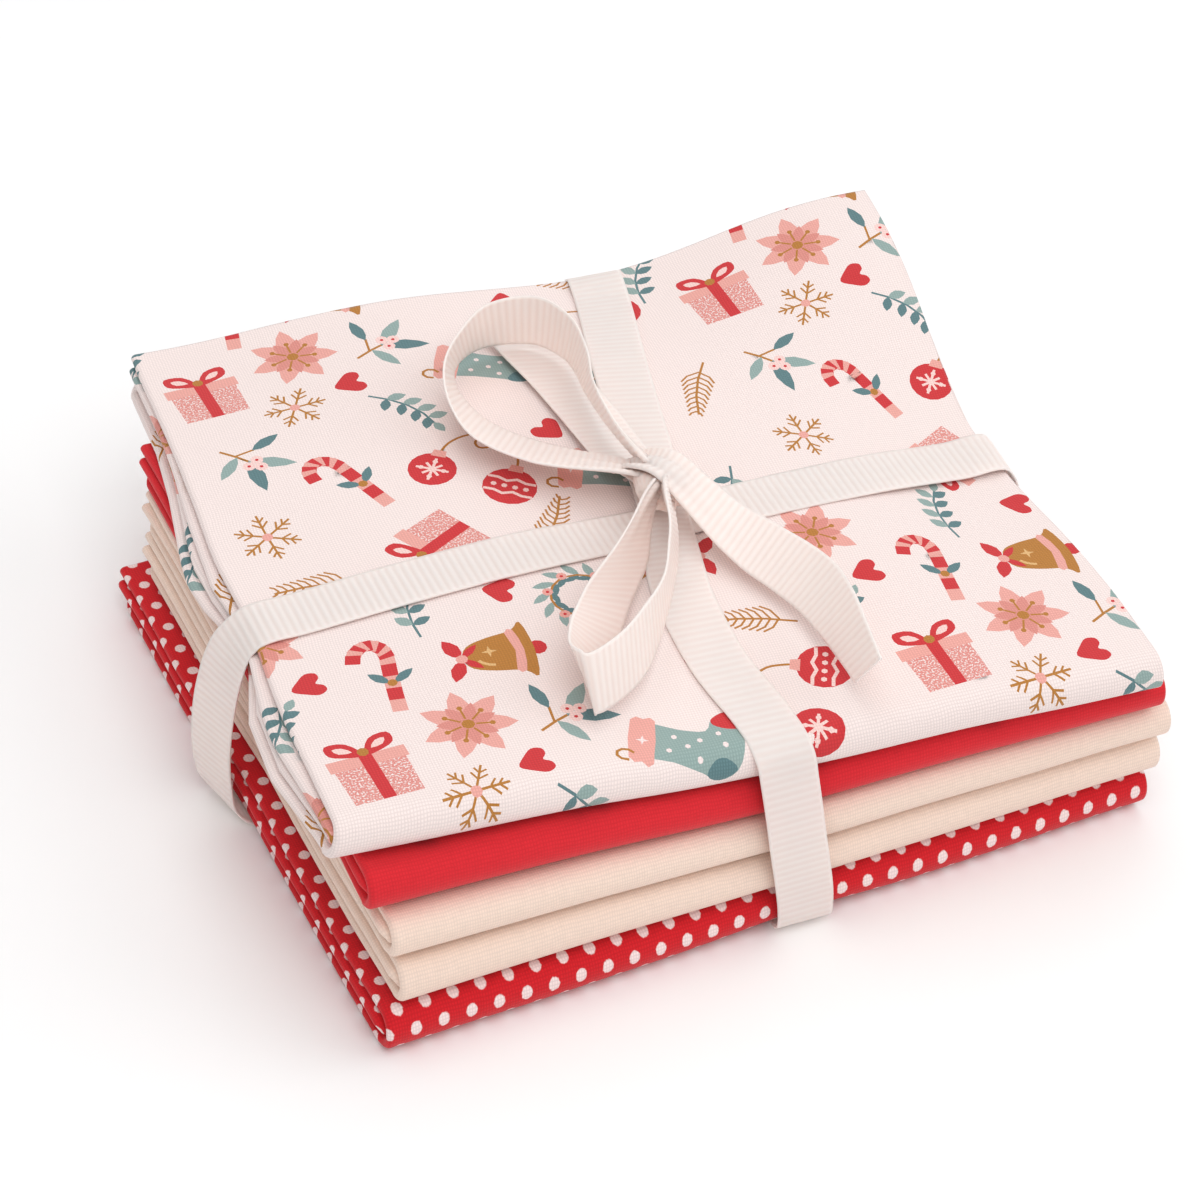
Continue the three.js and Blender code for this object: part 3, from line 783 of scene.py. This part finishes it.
def mark_shows(low, high, starts_u, starts_v):
    """Whether a mark between those two corners of the flat cloth can be seen on the folded one."""
    def in_fold(side, starts, part):
        return low[side] < starts[part + 1] + SEEN_REACH and high[side] > starts[part] - SEEN_REACH

    first_pass = low[0] < starts_u[2] + 1
    on_top = first_pass and low[1] < starts_v[2] + SHOWN_PAST_FOLD + 1
    in_back_fold = first_pass and in_fold(1, starts_v, 3)
    at_edge = low[0] < SEEN_REACH or high[0] > starts_u[-1] - SEEN_REACH
    return on_top or in_back_fold or at_edge or in_fold(0, starts_u, 1) or in_fold(0, starts_u, 3)


def printed_marks(starts_u, starts_v):
    """The marks that show, in the order in which they are printed."""
    marks = []
    for across in range(-1, int(starts_u[-1] / REPEAT[0]) + 2):
        for along in range(-1, int(starts_v[-1] / REPEAT[1]) + 2):
            for drawing, x, y, turn_deg in PLACED_MOTIFS:
                u, v = x + across * REPEAT[0], y + along * REPEAT[1]
                for ink, corners in drawing:
                    mark = np.array(turned(corners, u, v, turn_deg, MOTIF_SCALE))
                    low, high = mark.min(axis=0), mark.max(axis=0)
                    on_cloth = high.min() > 0 and low[0] < starts_u[-1] and low[1] < starts_v[-1]
                    if on_cloth and mark_shows(low, high, starts_u, starts_v):
                        marks.append((ink, mark))
    return marks


def inked(places, marks):
    """The number of the last mark over each place, or -1 on bare ground."""
    order = np.argsort(places[:, 0])
    sorted_u = places[order, 0]
    ink = np.full(len(places), -1)
    for number, (_, mark) in enumerate(marks):
        first, last = np.searchsorted(sorted_u, (mark[:, 0].min(), mark[:, 0].max()))
        near = order[first:last]
        near = near[(places[near, 1] > mark[:, 1].min()) & (places[near, 1] < mark[:, 1].max())]
        u, v = places[near, 0], places[near, 1]
        inside = np.zeros(len(near), dtype=bool)
        for (u0, v0), (u1, v1) in zip(mark, np.roll(mark, -1, axis=0)):
            if v0 != v1:
                crosses = (v0 > v) != (v1 > v)
                inside ^= crosses & (u < u0 + (v - v0) * (u1 - u0) / (v1 - v0))
        ink[near[inside]] = number
    return ink


def kept_lines(index, lines, starts):
    """The grid's edges along its rim and in its folds, which no face may bridge."""
    kept = []
    for side, numbers in enumerate((index, index.T)):
        for k, line in enumerate(numbers):
            in_fold = any(
                starts[side][part] - 0.5 <= lines[side][k] <= starts[side][part + 1] + 0.5 for part in FOLDS)
            if in_fold or k in (0, len(numbers) - 1):
                kept += zip(line[:-1].tolist(), line[1:].tolist())
    return kept


def printed_cloth(cloth):
    starts, lines, grid_points, index = flat_grid(cloth, PRINT_STEPS)
    corners = [Vector(point) for point in grid_points.tolist()]
    kept = kept_lines(index, lines, starts)
    marks = printed_marks(*starts)
    for _, mark in marks:
        numbers = range(len(corners), len(corners) + len(mark))
        kept += zip(numbers, [*numbers[1:], numbers[0]])
        corners += [Vector(point) for point in mark]
    found, _, faces, *_ = delaunay_2d_cdt(corners, kept, [], 0, 1e-4, False)
    flat_points = np.array([tuple(point) for point in found])
    faces = np.array(faces)
    middles = flat_points[faces].mean(axis=1)
    inside = ((middles > 0) & (middles < (starts[0][-1], starts[1][-1]))).all(axis=1)
    inks = [marks[number][0] if number >= 0 else "ground" for number in inked(middles[inside], marks)]
    used, faces = np.unique(faces[inside], return_inverse=True)
    faces = faces.reshape(-1, 3)
    flat_points = flat_points[used]
    points = fold_cloth(*flat_points.T, cloth)
    piece = sheet_mesh(cloth[0] + "_sheet", points, faces.tolist(), flat_points)
    colours = {ink: (*linear(colour), 1.0 if ink == "speckled" else 0.0) for ink, colour in INKS.items()}
    ink_layer = piece.data.attributes.new("ink", "FLOAT_COLOR", "CORNER")
    values = np.repeat(np.array([colours[ink] for ink in inks]), 3, axis=0)
    ink_layer.data.foreach_set("color", values.ravel())
    return finish_cloth(piece, starts, len(points), len(faces))


cloth_pieces.append(printed_cloth(CLOTHS[4]))

# %% [markdown]
# Ribbon is narrow woven tape. A strip is drawn along its middle line, with the direction across
# it given at each station: between the stations a smooth curve runs through them. A curve with a
# bevel would be quicker, but it turns as it likes, and a bow's ribbon has to stand on edge in one
# place and lie flat in another. The ribs of the weave run across the ribbon, so the strip has
# several rows of faces to each rib.

# %% Drawing a ribbon
RIBBON_WIDTH = 9.8
RIBBON_THICKNESS = 0.32
RIB_PITCH = 1.3
ROWS_PER_RIB = 4
RIB_HEIGHT = 0.05
# A gathered ribbon lies in this many small pleats across its width.
GATHER_HEIGHT = 1.3
PLEATS = 2.5
POINTS_PER_SPAN = 24
# Places across the ribbon as shares of its width; the ribs end before its two flat edges.
ACROSS = np.array([-0.5, -0.44, *np.linspace(-0.4, 0.4, 8), 0.44, 0.5])
RIBBED = np.abs(ACROSS) < 0.46


def smooth_through(stations, closed):
    """Points of a Catmull-Rom curve through the stations; an open one sets off straight at its ends."""
    row = np.array(stations, dtype=float)
    if closed:
        row = np.array([row[-1], *row, row[0], row[1]])
    else:
        row = np.array([2 * row[0] - row[1], *row, 2 * row[-1] - row[-2]])
    share = np.linspace(0, 1, POINTS_PER_SPAN, endpoint=False)[:, None]
    curve = []
    for before, start, end, after in zip(row, row[1:], row[2:], row[3:]):
        steps = np.diff([before, start, end, after], axis=0)[:, :3]
        gap_before, gap, gap_after = np.linalg.norm(steps, axis=1)
        slope_start = (end - before) * gap / (gap + gap_before)
        slope_end = (after - start) * gap / (gap + gap_after)
        curve.append(
            (2 * share**3 - 3 * share**2 + 1) * start + (share**3 - 2 * share**2 + share) * slope_start
            + (3 * share**2 - 2 * share**3) * end + (share**3 - share**2) * slope_end)
    curve.append(row[-2:-1])
    return np.concatenate(curve)


def in_whole_ribs(curve):
    """The same curve with evenly spaced points, a whole number of ribs from end to end."""
    gaps = np.linalg.norm(np.diff(curve[:, :3], axis=0), axis=1)
    run = np.concatenate([[0], np.cumsum(gaps)])
    ribs = max(int(round(run[-1] / RIB_PITCH)), 1)
    wanted = np.linspace(0, run[-1], ribs * ROWS_PER_RIB + 1)
    return np.stack([np.interp(wanted, run, column) for column in curve.T], axis=-1), run[-1]


def ribbon_strip(name, stations, closed=False):
    """A strip through stations of x, y, z, the direction across, and where it is gathered its width."""
    stations = [station if len(station) == 7 else [*station, 1.0] for station in stations]
    spaced, length = in_whole_ribs(smooth_through(stations, closed))
    rib_run = np.arange(len(spaced)) * RIB_PITCH / ROWS_PER_RIB
    flat_points = np.stack(np.broadcast_arrays(ACROSS * RIBBON_WIDTH, rib_run[:, None]), axis=-1)
    index = np.arange(flat_points[..., 0].size).reshape(len(spaced), len(ACROSS))
    flat_faces = np.stack([index[:-1, :-1], index[:-1, 1:], index[1:, 1:], index[1:, :-1]], axis=-1)
    if closed:
        spaced, rib_run = spaced[:-1], rib_run[:-1]
    middle, sideways, share = spaced[:, :3], spaced[:, 3:6], np.clip(spaced[:, 6:], 0.2, 1.0)
    sideways = sideways / np.linalg.norm(sideways, axis=1)[:, None]
    if closed:
        tangent = np.roll(middle, -1, axis=0) - np.roll(middle, 1, axis=0)
    else:
        tangent = np.gradient(middle, axis=0)
    tangent /= np.linalg.norm(tangent, axis=1)[:, None]
    normal = np.cross(tangent, sideways)
    slant = np.linalg.norm(normal, axis=1)[:, None]
    ribs = RIB_HEIGHT * np.cos(rib_run * 2 * math.pi / RIB_PITCH)[:, None] * RIBBED
    gathers = GATHER_HEIGHT * (1 - share) * np.cos(ACROSS * 2 * math.pi * PLEATS)
    points = (middle[:, None]
              + sideways[:, None] * (ACROSS * RIBBON_WIDTH * share / slant)[..., None]
              + (normal / slant)[:, None] * (ribs + gathers)[..., None])
    faces = flat_faces.reshape(-1, 4) % ribs.size
    piece = sheet_mesh(
        name, points.reshape(-1, 3) + PILE_ORIGIN, faces.tolist(), flat_points.reshape(-1, 2), flat_faces)
    give_thickness(piece, RIBBON_THICKNESS)
    print(name, "is", round(length), "mm of ribbon")
    return piece, length


def on_top(x, y, above, across_x, across_y, across_z=0.0, width=1.0):
    """A station on the settled top of the pile."""
    z = settle(np.array([x, y, TOP], dtype=float))[2]
    z += pile_waves(np.array(x), np.array(y))
    return [x, y, z + above, across_x, across_y, across_z, width]


# %% [markdown]
# One run of ribbon goes round the pile from left to right, the other from front to back. They
# cross beneath the pile and again under the knot, where the second run lies over the first.
# Beneath the pile it lies between the first and the cloth.

# %% The two bands
# Heights of the ribbon's middle: on top, above the cloth; beneath, above the floor.
ON_CLOTH = 0.5
OVER_RIBBON = 1.15
UNDER_CLOTH = 0.3
UNDER_CROSSING = 0.9

# Each station: x, y, z, the direction across in x, y and z, and its width where it is gathered.
crosswise_route = [
    on_top(-60, -13.1, ON_CLOTH, -0.06, 1),
    on_top(-42, -12, ON_CLOTH, -0.06, 1),
    on_top(-22, -10.7, ON_CLOTH, -0.06, 1),
    on_top(-8, -9.8, ON_CLOTH, -0.06, 1, width=0.94),
    on_top(4, -9, ON_CLOTH, -0.06, 1, width=0.85),
    on_top(18, -8.2, ON_CLOTH, -0.06, 1, width=0.96),
    on_top(42, -6.6, ON_CLOTH, -0.06, 1),
    on_top(58, -5.6, ON_CLOTH, -0.06, 1),
    [65.4, -5.2, 38.6, 0, 1, 0],
    [68, -5, 35.6, 0, 1, 0],
    [69.6, -5, 30.5, 0, 1, 0],
    [71.2, -5, 24, 0, 1, 0],
    [72, -5, 15, 0, 1, 0],
    [71.9, -5.2, 6, 0, 1, 0],
    [70.8, -5.4, 1.6, 0, 1, 0],
    [67, -5.6, UNDER_CLOTH, 0, 1, 0],
    [56, -6.1, UNDER_CLOTH, -0.06, 1, 0],
    [25, -7.6, UNDER_CLOTH, -0.06, 1, 0],
    [-25, -10.9, UNDER_CLOTH, -0.06, 1, 0],
    [-58, -12.6, UNDER_CLOTH, -0.06, 1, 0],
    [-68.4, -13.1, UNDER_CLOTH, -0.06, 1, 0],
    [-73.2, -12, 2.6, -0.28, 0.96, 0],
    [-74.4, -11.6, 7, -0.38, 0.92, 0],
    [-74.7, -11.6, 15, -0.4, 0.92, 0],
    [-73.9, -12.2, 25, -0.38, 0.92, 0],
    [-72, -12.8, 34, -0.28, 0.96, 0],
    [-69.9, -13.3, 38.2, -0.1, 1, 0],
    [-67, -13.4, 40.2, -0.06, 1, 0],
]
crosswise = ribbon_strip("crosswise_band", crosswise_route, closed=True)

lengthwise_route = [
    on_top(2.6, -55, ON_CLOTH, 1, 0),
    on_top(0, -43, ON_CLOTH, 1, 0),
    on_top(-0.3, -29, ON_CLOTH, 1, -0.05),
    on_top(0.8, -22, ON_CLOTH, 1, -0.1),
    on_top(2.4, -15.4, OVER_RIBBON, 1, -0.15, width=0.9),
    on_top(5.2, -2.6, OVER_RIBBON, 1, -0.15, width=0.85),
    on_top(6.4, 4.8, 0.7, 1, -0.2, width=0.92),
    on_top(7.4, 12, ON_CLOTH, 1, -0.22),
    on_top(11, 32, ON_CLOTH, 1, -0.2),
    on_top(15.6, 53, ON_CLOTH, 1, -0.15, 0.05),
    [16.6, 60.2, 39.4, 1, -0.05, 0.06],
    [17, 62.9, 37.4, 1, -0.05, 0.03],
    [17.2, 62.6, 33.4, 1, 0, 0],
    [17.2, 60, 29.4, 1, 0, 0],
    [17.1, 56, 24, 1, 0, 0],
    [17, 54.6, 17, 1, 0, 0],
    [17, 54.6, 8, 1, 0, 0],
    [16.8, 53.2, 2.2, 1, 0, 0],
    [16.6, 49.4, UNDER_CLOTH, 1, -0.05, 0],
    [15.8, 40, UNDER_CLOTH, 1, -0.1, 0],
    [13.6, 14, UNDER_CLOTH, 1, -0.1, 0],
    [12.6, -1, UNDER_CROSSING, 1, -0.05, 0],
    [11.8, -16, UNDER_CROSSING, 1, -0.05, 0],
    [11, -31, UNDER_CLOTH, 1, -0.05, 0],
    [9.4, -52, UNDER_CLOTH, 1, 0, 0],
    [8.8, -63, UNDER_CLOTH, 1, 0, 0],
    [8.5, -66.6, 2.4, 1, 0.05, 0],
    [8.1, -67, 7.5, 1, 0.06, 0],
    [7, -67, 14, 1, 0.06, 0],
    [5.8, -66.5, 21, 1, 0.06, 0],
    [5, -65.5, 27, 1, 0.06, 0],
    [4.4, -64.2, 32, 1, 0.06, 0],
    [3.9, -62.9, 36, 1, 0.04, 0],
    [3.4, -60.1, 38, 1, 0.02, 0],
]
lengthwise = ribbon_strip("lengthwise_band", lengthwise_route, closed=True)

# %% [markdown]
# The bow has two loops and two free ends. Ribbon on edge makes the loops: each stands on one
# selvedge and leans, so the direction across it turns from station to station.

# %% The bow
loop_back_route = [
    [4.4, -5.6, 47.6, -0.5, -0.75, 0.3, 0.4],
    [-1.2, -0.8, 47.3, -0.46, -0.83, 0.3, 0.6],
    [-12.3, 9.1, 45.3, -0.51, -0.8, 0.33],
    [-19.3, 17.5, 45.3, -0.5, -0.77, 0.38],
    [-21.4, 25, 46.5, -0.43, -0.73, 0.53],
    [-20.2, 32.2, 47.6, -0.36, -0.63, 0.69],
    [-15.4, 37.9, 48.1, -0.27, -0.41, 0.87],
    [-9.6, 40.8, 48.4, -0.16, -0.06, 0.98],
    [-2.2, 39.2, 48.8, 0.02, 0.06, 1],
    [1.2, 33, 49, 0.04, -0.16, 0.98],
    [1.3, 26, 49.2, -0.06, -0.5, 0.86],
    [0, 18, 49.6, -0.18, -0.65, 0.74],
    [0, 8.5, 49.8, -0.19, -0.7, 0.69, 0.85],
    [1.8, 1, 49, -0.17, -0.71, 0.68, 0.55],
    [4.2, -5, 48, -0.17, -0.71, 0.68, 0.4],
]
loop_front_route = [
    [3.6, -7, 48.2, -0.5, -0.5, 0.6, 0.4],
    [-1.6, -13.8, 49, -0.54, -0.6, 0.59, 0.7],
    [-8.3, -22.9, 47.6, -0.7, -0.48, 0.52],
    [-14, -29.8, 47, -0.77, -0.33, 0.55],
    [-18, -35.5, 46.8, -0.76, -0.07, 0.64],
    [-21.7, -41.3, 47.3, -0.59, 0.2, 0.79],
    [-24.4, -46.6, 47.8, -0.3, 0.4, 0.87],
    [-24.2, -49.8, 48, -0.05, 0.48, 0.88],
    [-18.2, -47.2, 48, 0.04, 0.46, 0.89],
    [-12.6, -42.6, 48.2, 0, 0.38, 0.92],
    [-6.1, -34.2, 48.7, -0.18, -0.16, 0.97],
    [-1.6, -25.6, 49.1, -0.31, -0.34, 0.88],
    [0.5, -20.2, 49.6, -0.35, -0.4, 0.84, 0.9],
    [2.2, -13.4, 49.4, -0.39, -0.5, 0.77, 0.65],
    [4, -7, 48.3, -0.39, -0.5, 0.77, 0.4],
]
tail_front_route = [
    [0.9, 1.6, 46, 0.88, 0.44, 0.05, 0.6],
    [2.4, -2.2, 49.4, 0.86, 0.46, 0.05, 0.68],
    [4.6, -6.4, 50.8, 0.84, 0.5, 0.05, 0.72],
    [7.4, -10.8, 48.6, 0.8, 0.55, 0.08, 0.8],
    [11.2, -17.6, 45.8, 0.75, 0.62, 0.18, 0.92],
    [14.4, -24.6, 45.4, 0.76, 0.52, 0.38],
    [17, -31, 45.9, 0.76, 0.34, 0.55],
    [18.7, -37.5, 46.6, 0.66, 0.1, 0.74],
    [18.9, -44.5, 47.2, 0.48, -0.14, 0.86],
    [18.7, -51.5, 47.3, 0.26, -0.36, 0.88],
    [18.5, -58.6, 47, 0.1, -0.48, 0.86],
]
tail_back_route = [
    [4, -4.5, 45.2, 0.98, -0.16, -0.04, 0.5],
    [3.2, 1.2, 43.9, 0.98, -0.16, -0.04, 0.75],
    [2, 8, 43, 0.98, -0.16, -0.04],
    [1.2, 15, 42.7, 0.98, -0.14, -0.02],
    [0.2, 22, 42.7, 0.99, -0.14, 0],
    [-1.2, 31, 42.5, 0.98, -0.18, 0],
    [-3, 39, 42.5, 0.97, -0.22, 0],
    [-4.2, 44.5, 42.6, 0.97, -0.24, 0],
]
loop_back = ribbon_strip("loop_at_back", loop_back_route)
loop_front = ribbon_strip("loop_at_front", loop_front_route)
tail_front = ribbon_strip("tail_at_front", tail_front_route)
tail_back = ribbon_strip("tail_at_back", tail_back_route)

# %% [markdown]
# The knot is a short length of the ribbon, drawn tight round the others so that it gathers into a
# small bun. Its ribs run along the bun and its gathers run round it. A strip led through itself
# could make a true knot, but of one so small only this outer turn shows.

# %% The knot
KNOT_CENTRE = np.array([4.4, -6.2, 46.3])
KNOT_HALF_SIZES = (4.3, 4.5, 3.3)
KNOT_AXIS = np.array([0.88, 0.47, 0.0])
KNOT_ROWS, KNOT_COLUMNS = 72, 28
# The knot is fuller than a ball: the higher this power, the squarer its outline.
KNOT_POWER = 3.4
# How far the gathers and the ribs stand out, as shares of the knot's size.
KNOT_GATHERS, KNOT_RIBS = 0.09, 0.008
# What its size is on the flat ribbon, where its ribs are worked out: from the middle to an end,
# and round it for each radian.
KNOT_FLAT_SIZES = (5, 3.9)

knot_side = np.array([-KNOT_AXIS[1], KNOT_AXIS[0], 0.0])
turns = np.linspace(0, 2 * math.pi, KNOT_ROWS, endpoint=False)
places = np.linspace(-0.985, 0.985, KNOT_COLUMNS)
turn_grid, place_grid = np.meshgrid(turns, places, indexing="ij")
fullness = (1 - np.abs(place_grid) ** KNOT_POWER) ** (1 / KNOT_POWER)
fullness = fullness * (1 + KNOT_GATHERS * np.cos(place_grid * 11 + 1.5 * np.sin(turn_grid)))
fullness = fullness + KNOT_RIBS * np.cos(turn_grid * 18)
knot_points = (
    KNOT_CENTRE
    + KNOT_AXIS * (KNOT_HALF_SIZES[0] * place_grid)[..., None]
    + knot_side * (KNOT_HALF_SIZES[1] * fullness * np.cos(turn_grid))[..., None]
    + np.array([0, 0, 1.0]) * (KNOT_HALF_SIZES[2] * fullness * np.sin(turn_grid))[..., None]
)
index = np.arange(KNOT_ROWS * KNOT_COLUMNS).reshape(KNOT_ROWS, KNOT_COLUMNS)
index = np.concatenate([index, index[:1]])
faces = np.stack([index[:-1, :-1], index[1:, :-1], index[1:, 1:], index[:-1, 1:]], axis=-1)
faces = faces.reshape(-1, 4).tolist()
faces += [index[:-1, 0][::-1].tolist(), index[:-1, -1].tolist()]
flat_points = np.stack([place_grid, turn_grid], axis=-1).reshape(-1, 2) * KNOT_FLAT_SIZES
knot = sheet_mesh("knot_bun", knot_points.reshape(-1, 3) + PILE_ORIGIN, faces, flat_points)
print("The knot is", 2 * KNOT_HALF_SIZES[0], "mm long")

# %% [markdown]
# Cotton is a plain weave: every thread goes over one and under the next. Two waves, one for each
# set of threads, make its tiny bumps from the flat cloth's own coordinates, so the weave turns
# with the folds. A little noise makes some threads thicker than others. The same waves also darken
# the colour between the threads as painted shade and lighten it on their tops as a painted highlight.

# %% Woven cotton
THREAD_PITCH = 0.48
RED = (225, 42, 52)
CREAM = (251, 226, 210)
DYE_UNEVENNESS = 0.12


def feed(tree, node, inputs):
    """Sets each named input of a node: to a plain value, or to the output of another node."""
    for name, value in inputs.items():
        if isinstance(value, bpy.types.NodeSocket):
            tree.links.new(value, node.inputs[name])
        else:
            node.inputs[name].default_value = value
    return node


def calculate(tree, operation, *values):
    node = tree.nodes.new("ShaderNodeMath")
    node.operation = operation
    return feed(tree, node, dict(enumerate(values))).outputs["Value"]


def mixed(tree, share, first, second, blend="MIX"):
    node = tree.nodes.new("ShaderNodeMix")
    node.data_type = "RGBA"
    node.blend_type = blend
    return feed(tree, node, {"Factor": share, 6: first, 7: second}).outputs[2]


def noise(tree, place, scale, detail=2.0):
    node = tree.nodes.new("ShaderNodeTexNoise")
    return feed(tree, node, {"Vector": place, "Scale": scale, "Detail": detail}).outputs["Fac"]


def ramp(tree, value, low, high):
    """0 at the low value, 1 at the high one, and a straight line between them."""
    node = tree.nodes.new("ShaderNodeMapRange")
    return feed(tree, node, {"Value": value, "From Min": low, "From Max": high}).outputs["Result"]


def bumped(tree, height, strength, depth):
    node = tree.nodes.new("ShaderNodeBump")
    inputs = {"Height": height, "Strength": strength, "Distance": depth * MM}
    return feed(tree, node, inputs).outputs["Normal"]


def cloth_axes(tree):
    """The place on the flat cloth, and the millimetres across and along it."""
    node = tree.nodes.new("ShaderNodeUVMap")
    node.uv_map = "flat_cloth"
    place = node.outputs["UV"]
    parts = feed(tree, tree.nodes.new("ShaderNodeSeparateXYZ"), {"Vector": place})
    return place, [calculate(tree, "MULTIPLY", parts.outputs[axis], UV_UNIT) for axis in "XY"]


def thread_relief(tree, place, axes, pitches):
    """0 between the threads, 1 on top of them."""
    wander = calculate(tree, "MULTIPLY", noise(tree, place, 1.6), 0.9)
    waves = []
    for axis, pitch in zip(axes, pitches):
        run = calculate(tree, "MULTIPLY", calculate(tree, "ADD", axis, wander), math.pi / pitch)
        waves.append(calculate(tree, "ABSOLUTE", calculate(tree, "SINE", run)))
    return calculate(tree, "MULTIPLY", *waves)


def woven(name, colour_of, pitches=(THREAD_PITCH, THREAD_PITCH), depth=0.05, shade=0.16):
    """Cotton with painted shade of that strength between its threads and a little painted highlight on their
    tops; colour_of makes its print or dye.
    """
    material, tree, shader = node_material(name)
    place, axes = cloth_axes(tree)
    relief = thread_relief(tree, place, axes, pitches)
    # Painted shade and highlight: the colour is darkened in the gaps between the threads and lightened on
    # their tops.
    gaps = calculate(tree, "MULTIPLY_ADD", relief, shade * 1.5, 1 - shade)
    feed(tree, shader, {
        "Base Color": mixed(tree, 1.0, colour_of(tree, place, axes), gaps, "MULTIPLY"),
        "Normal": bumped(tree, relief, 0.7, depth),
        "Roughness": 0.9,
        "Specular IOR Level": 0.2,
        "Sheen Weight": 0.15,
        "Sheen Roughness": 0.5,
    })
    return material


def plain_dye(colour):
    def colour_of(tree, place, axes):
        light = linear(colour)
        return mixed(tree, noise(tree, place, 9.0, 3.0), opaque(light * (1 - DYE_UNEVENNESS)), opaque(light))
    return colour_of


def opaque(light):
    return (*light.tolist(), 1.0)


red_cotton = woven("red_cotton", plain_dye(RED), depth=0.03, shade=0.1)
cream_cotton = woven("cream_cotton", plain_dye(CREAM), (0.42, 0.5), depth=0.035, shade=0.1)
print("Threads are", THREAD_PITCH, "mm apart")

# %% [markdown]
# The dots of the bottom cloth stand in staggered rows: two lattices, one shifted by half a step
# each way. A point is dyed white where it is near enough to the closest dot of either. A pattern
# as even as this needs no edges in the mesh, so the material works it out.

# %% Dotted and printed cotton
DOT_GROUND = (218, 30, 40)
DOT_WHITE = (250, 226, 224)
DOT_DIAMETER = 1.85
DOT_BLUR = 0.08
DOT_STEPS = (4.7, 6.0)


def dots(tree, place, axes):
    distances = []
    for shift in (0.0, 0.5):
        squares = []
        for axis, step in zip(axes, DOT_STEPS):
            steps = calculate(tree, "MULTIPLY_ADD", axis, 1 / step, 100.0 + shift)
            offset = calculate(tree, "SUBTRACT", calculate(tree, "FRACT", steps), 0.5)
            offset = calculate(tree, "MULTIPLY", offset, step)
            squares.append(calculate(tree, "MULTIPLY", offset, offset))
        distances.append(calculate(tree, "SQRT", calculate(tree, "ADD", *squares)))
    ragged = calculate(tree, "MULTIPLY_ADD", noise(tree, place, 22.0), 0.35, -0.17)
    nearest = calculate(tree, "ADD", calculate(tree, "MINIMUM", *distances), ragged)
    white = ramp(tree, nearest, DOT_DIAMETER / 2 + DOT_BLUR, DOT_DIAMETER / 2 - DOT_BLUR)
    return mixed(tree, white, plain_dye(DOT_GROUND)(tree, place, axes), opaque(linear(DOT_WHITE)))


def inks(tree, place, axes):
    """The colour of each mark, with the ground showing through where the ink is speckled."""
    layer = tree.nodes.new("ShaderNodeAttribute")
    layer.attribute_name = "ink"
    speckle = ramp(tree, noise(tree, place, 30.0, 1.0), 0.53, 0.6)
    share = calculate(tree, "MULTIPLY", speckle, layer.outputs["Alpha"])
    return mixed(tree, share, layer.outputs["Color"], opaque(linear(INKS["ground"])))


dotted_cotton = woven("dotted_cotton", dots, depth=0.04, shade=0.14)
printed_cotton = woven("printed_cotton", inks, depth=0.06, shade=0.13)
print("Dots of", DOT_DIAMETER, "mm, printed inks:", len(INKS))

# %% [markdown]
# The ribbon is a ribbed polyester tape: ivory, with a slight gloss on the ribs and painted shade in
# the grooves between them, and thin enough for a little light to come through where it stands up.

# %% Ribbed ribbon
RIBBON_IVORY = (251, 235, 228)
# The darker ivory that the grooves take on as painted shade.
PAINTED_GROOVE_SHADE = (238, 214, 205)

ribbon_material, tree, shader = node_material("ribbon")
_, (across, along) = cloth_axes(tree)
rib_wave = calculate(tree, "COSINE", calculate(tree, "MULTIPLY", along, 2 * math.pi / RIB_PITCH))
rib_top = calculate(tree, "MULTIPLY_ADD", rib_wave, 0.5, 0.5)
from_middle = calculate(tree, "ABSOLUTE", across)
ribbed = ramp(tree, from_middle, RIBBON_WIDTH / 2 - 0.35, RIBBON_WIDTH / 2 - 0.55)
# Painted shade: the colour darkens towards the grooves between the ribs.
painted_groove_shade = calculate(tree, "MULTIPLY", calculate(tree, "SUBTRACT", 1.0, rib_top), ribbed)
painted_groove_shade = calculate(tree, "MULTIPLY", painted_groove_shade, 0.5)
feed(tree, shader, {
    "Base Color": mixed(tree, painted_groove_shade, opaque(linear(RIBBON_IVORY)), opaque(linear(PAINTED_GROOVE_SHADE))),
    "Normal": bumped(tree, rib_top, 0.5, 0.08),
    "Roughness": 0.45,
    "Specular IOR Level": 0.35,
    "Subsurface Weight": 0.5,
    "Subsurface Radius": (1.0, 0.9, 0.85),
    "Subsurface Scale": 1.5 * MM,
})
print("A rib every", RIB_PITCH, "mm")

# %% [markdown]
# Every piece takes its material, rides on the bundle's root, and stands for its plain solid.

# %% Hand over the pieces
COTTONS = [
    ("dotted_cotton", dotted_cotton),
    ("cream_cotton", cream_cotton),
    ("cream_cotton", cream_cotton),
    ("red_cotton", red_cotton),
    ("printed_cotton", printed_cotton),
]


def hand_over(piece, material, node):
    piece.data.materials.append(material)
    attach(piece, "root")
    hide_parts(node)


for cloth, piece, (slot, cotton) in zip(CLOTHS, cloth_pieces, COTTONS):
    hand_over(piece, cotton, cloth[0])

# each piece with its length, the solid it stands for, and how it is held
RIBBONS = [
    (crosswise, "ribbon_crosswise", "folded"),
    (lengthwise, "ribbon_lengthwise", "folded"),
    (loop_back, "loop_back", "laid"),
    (loop_front, "loop_front", "laid"),
    (tail_front, "tail_front", "laid"),
    (tail_back, "tail_back", "laid"),
]
for (piece, length), node, held in RIBBONS:
    hand_over(piece, ribbon_material, node)
hand_over(knot, ribbon_material, "knot")
print(len(CLOTHS), "cloths,", len(RIBBONS), "pieces of ribbon and a knot")

# %% [markdown]
# The colours are shown as they are, without a film look.

# %% Finish
bpy.context.scene.view_settings.view_transform = "Standard"
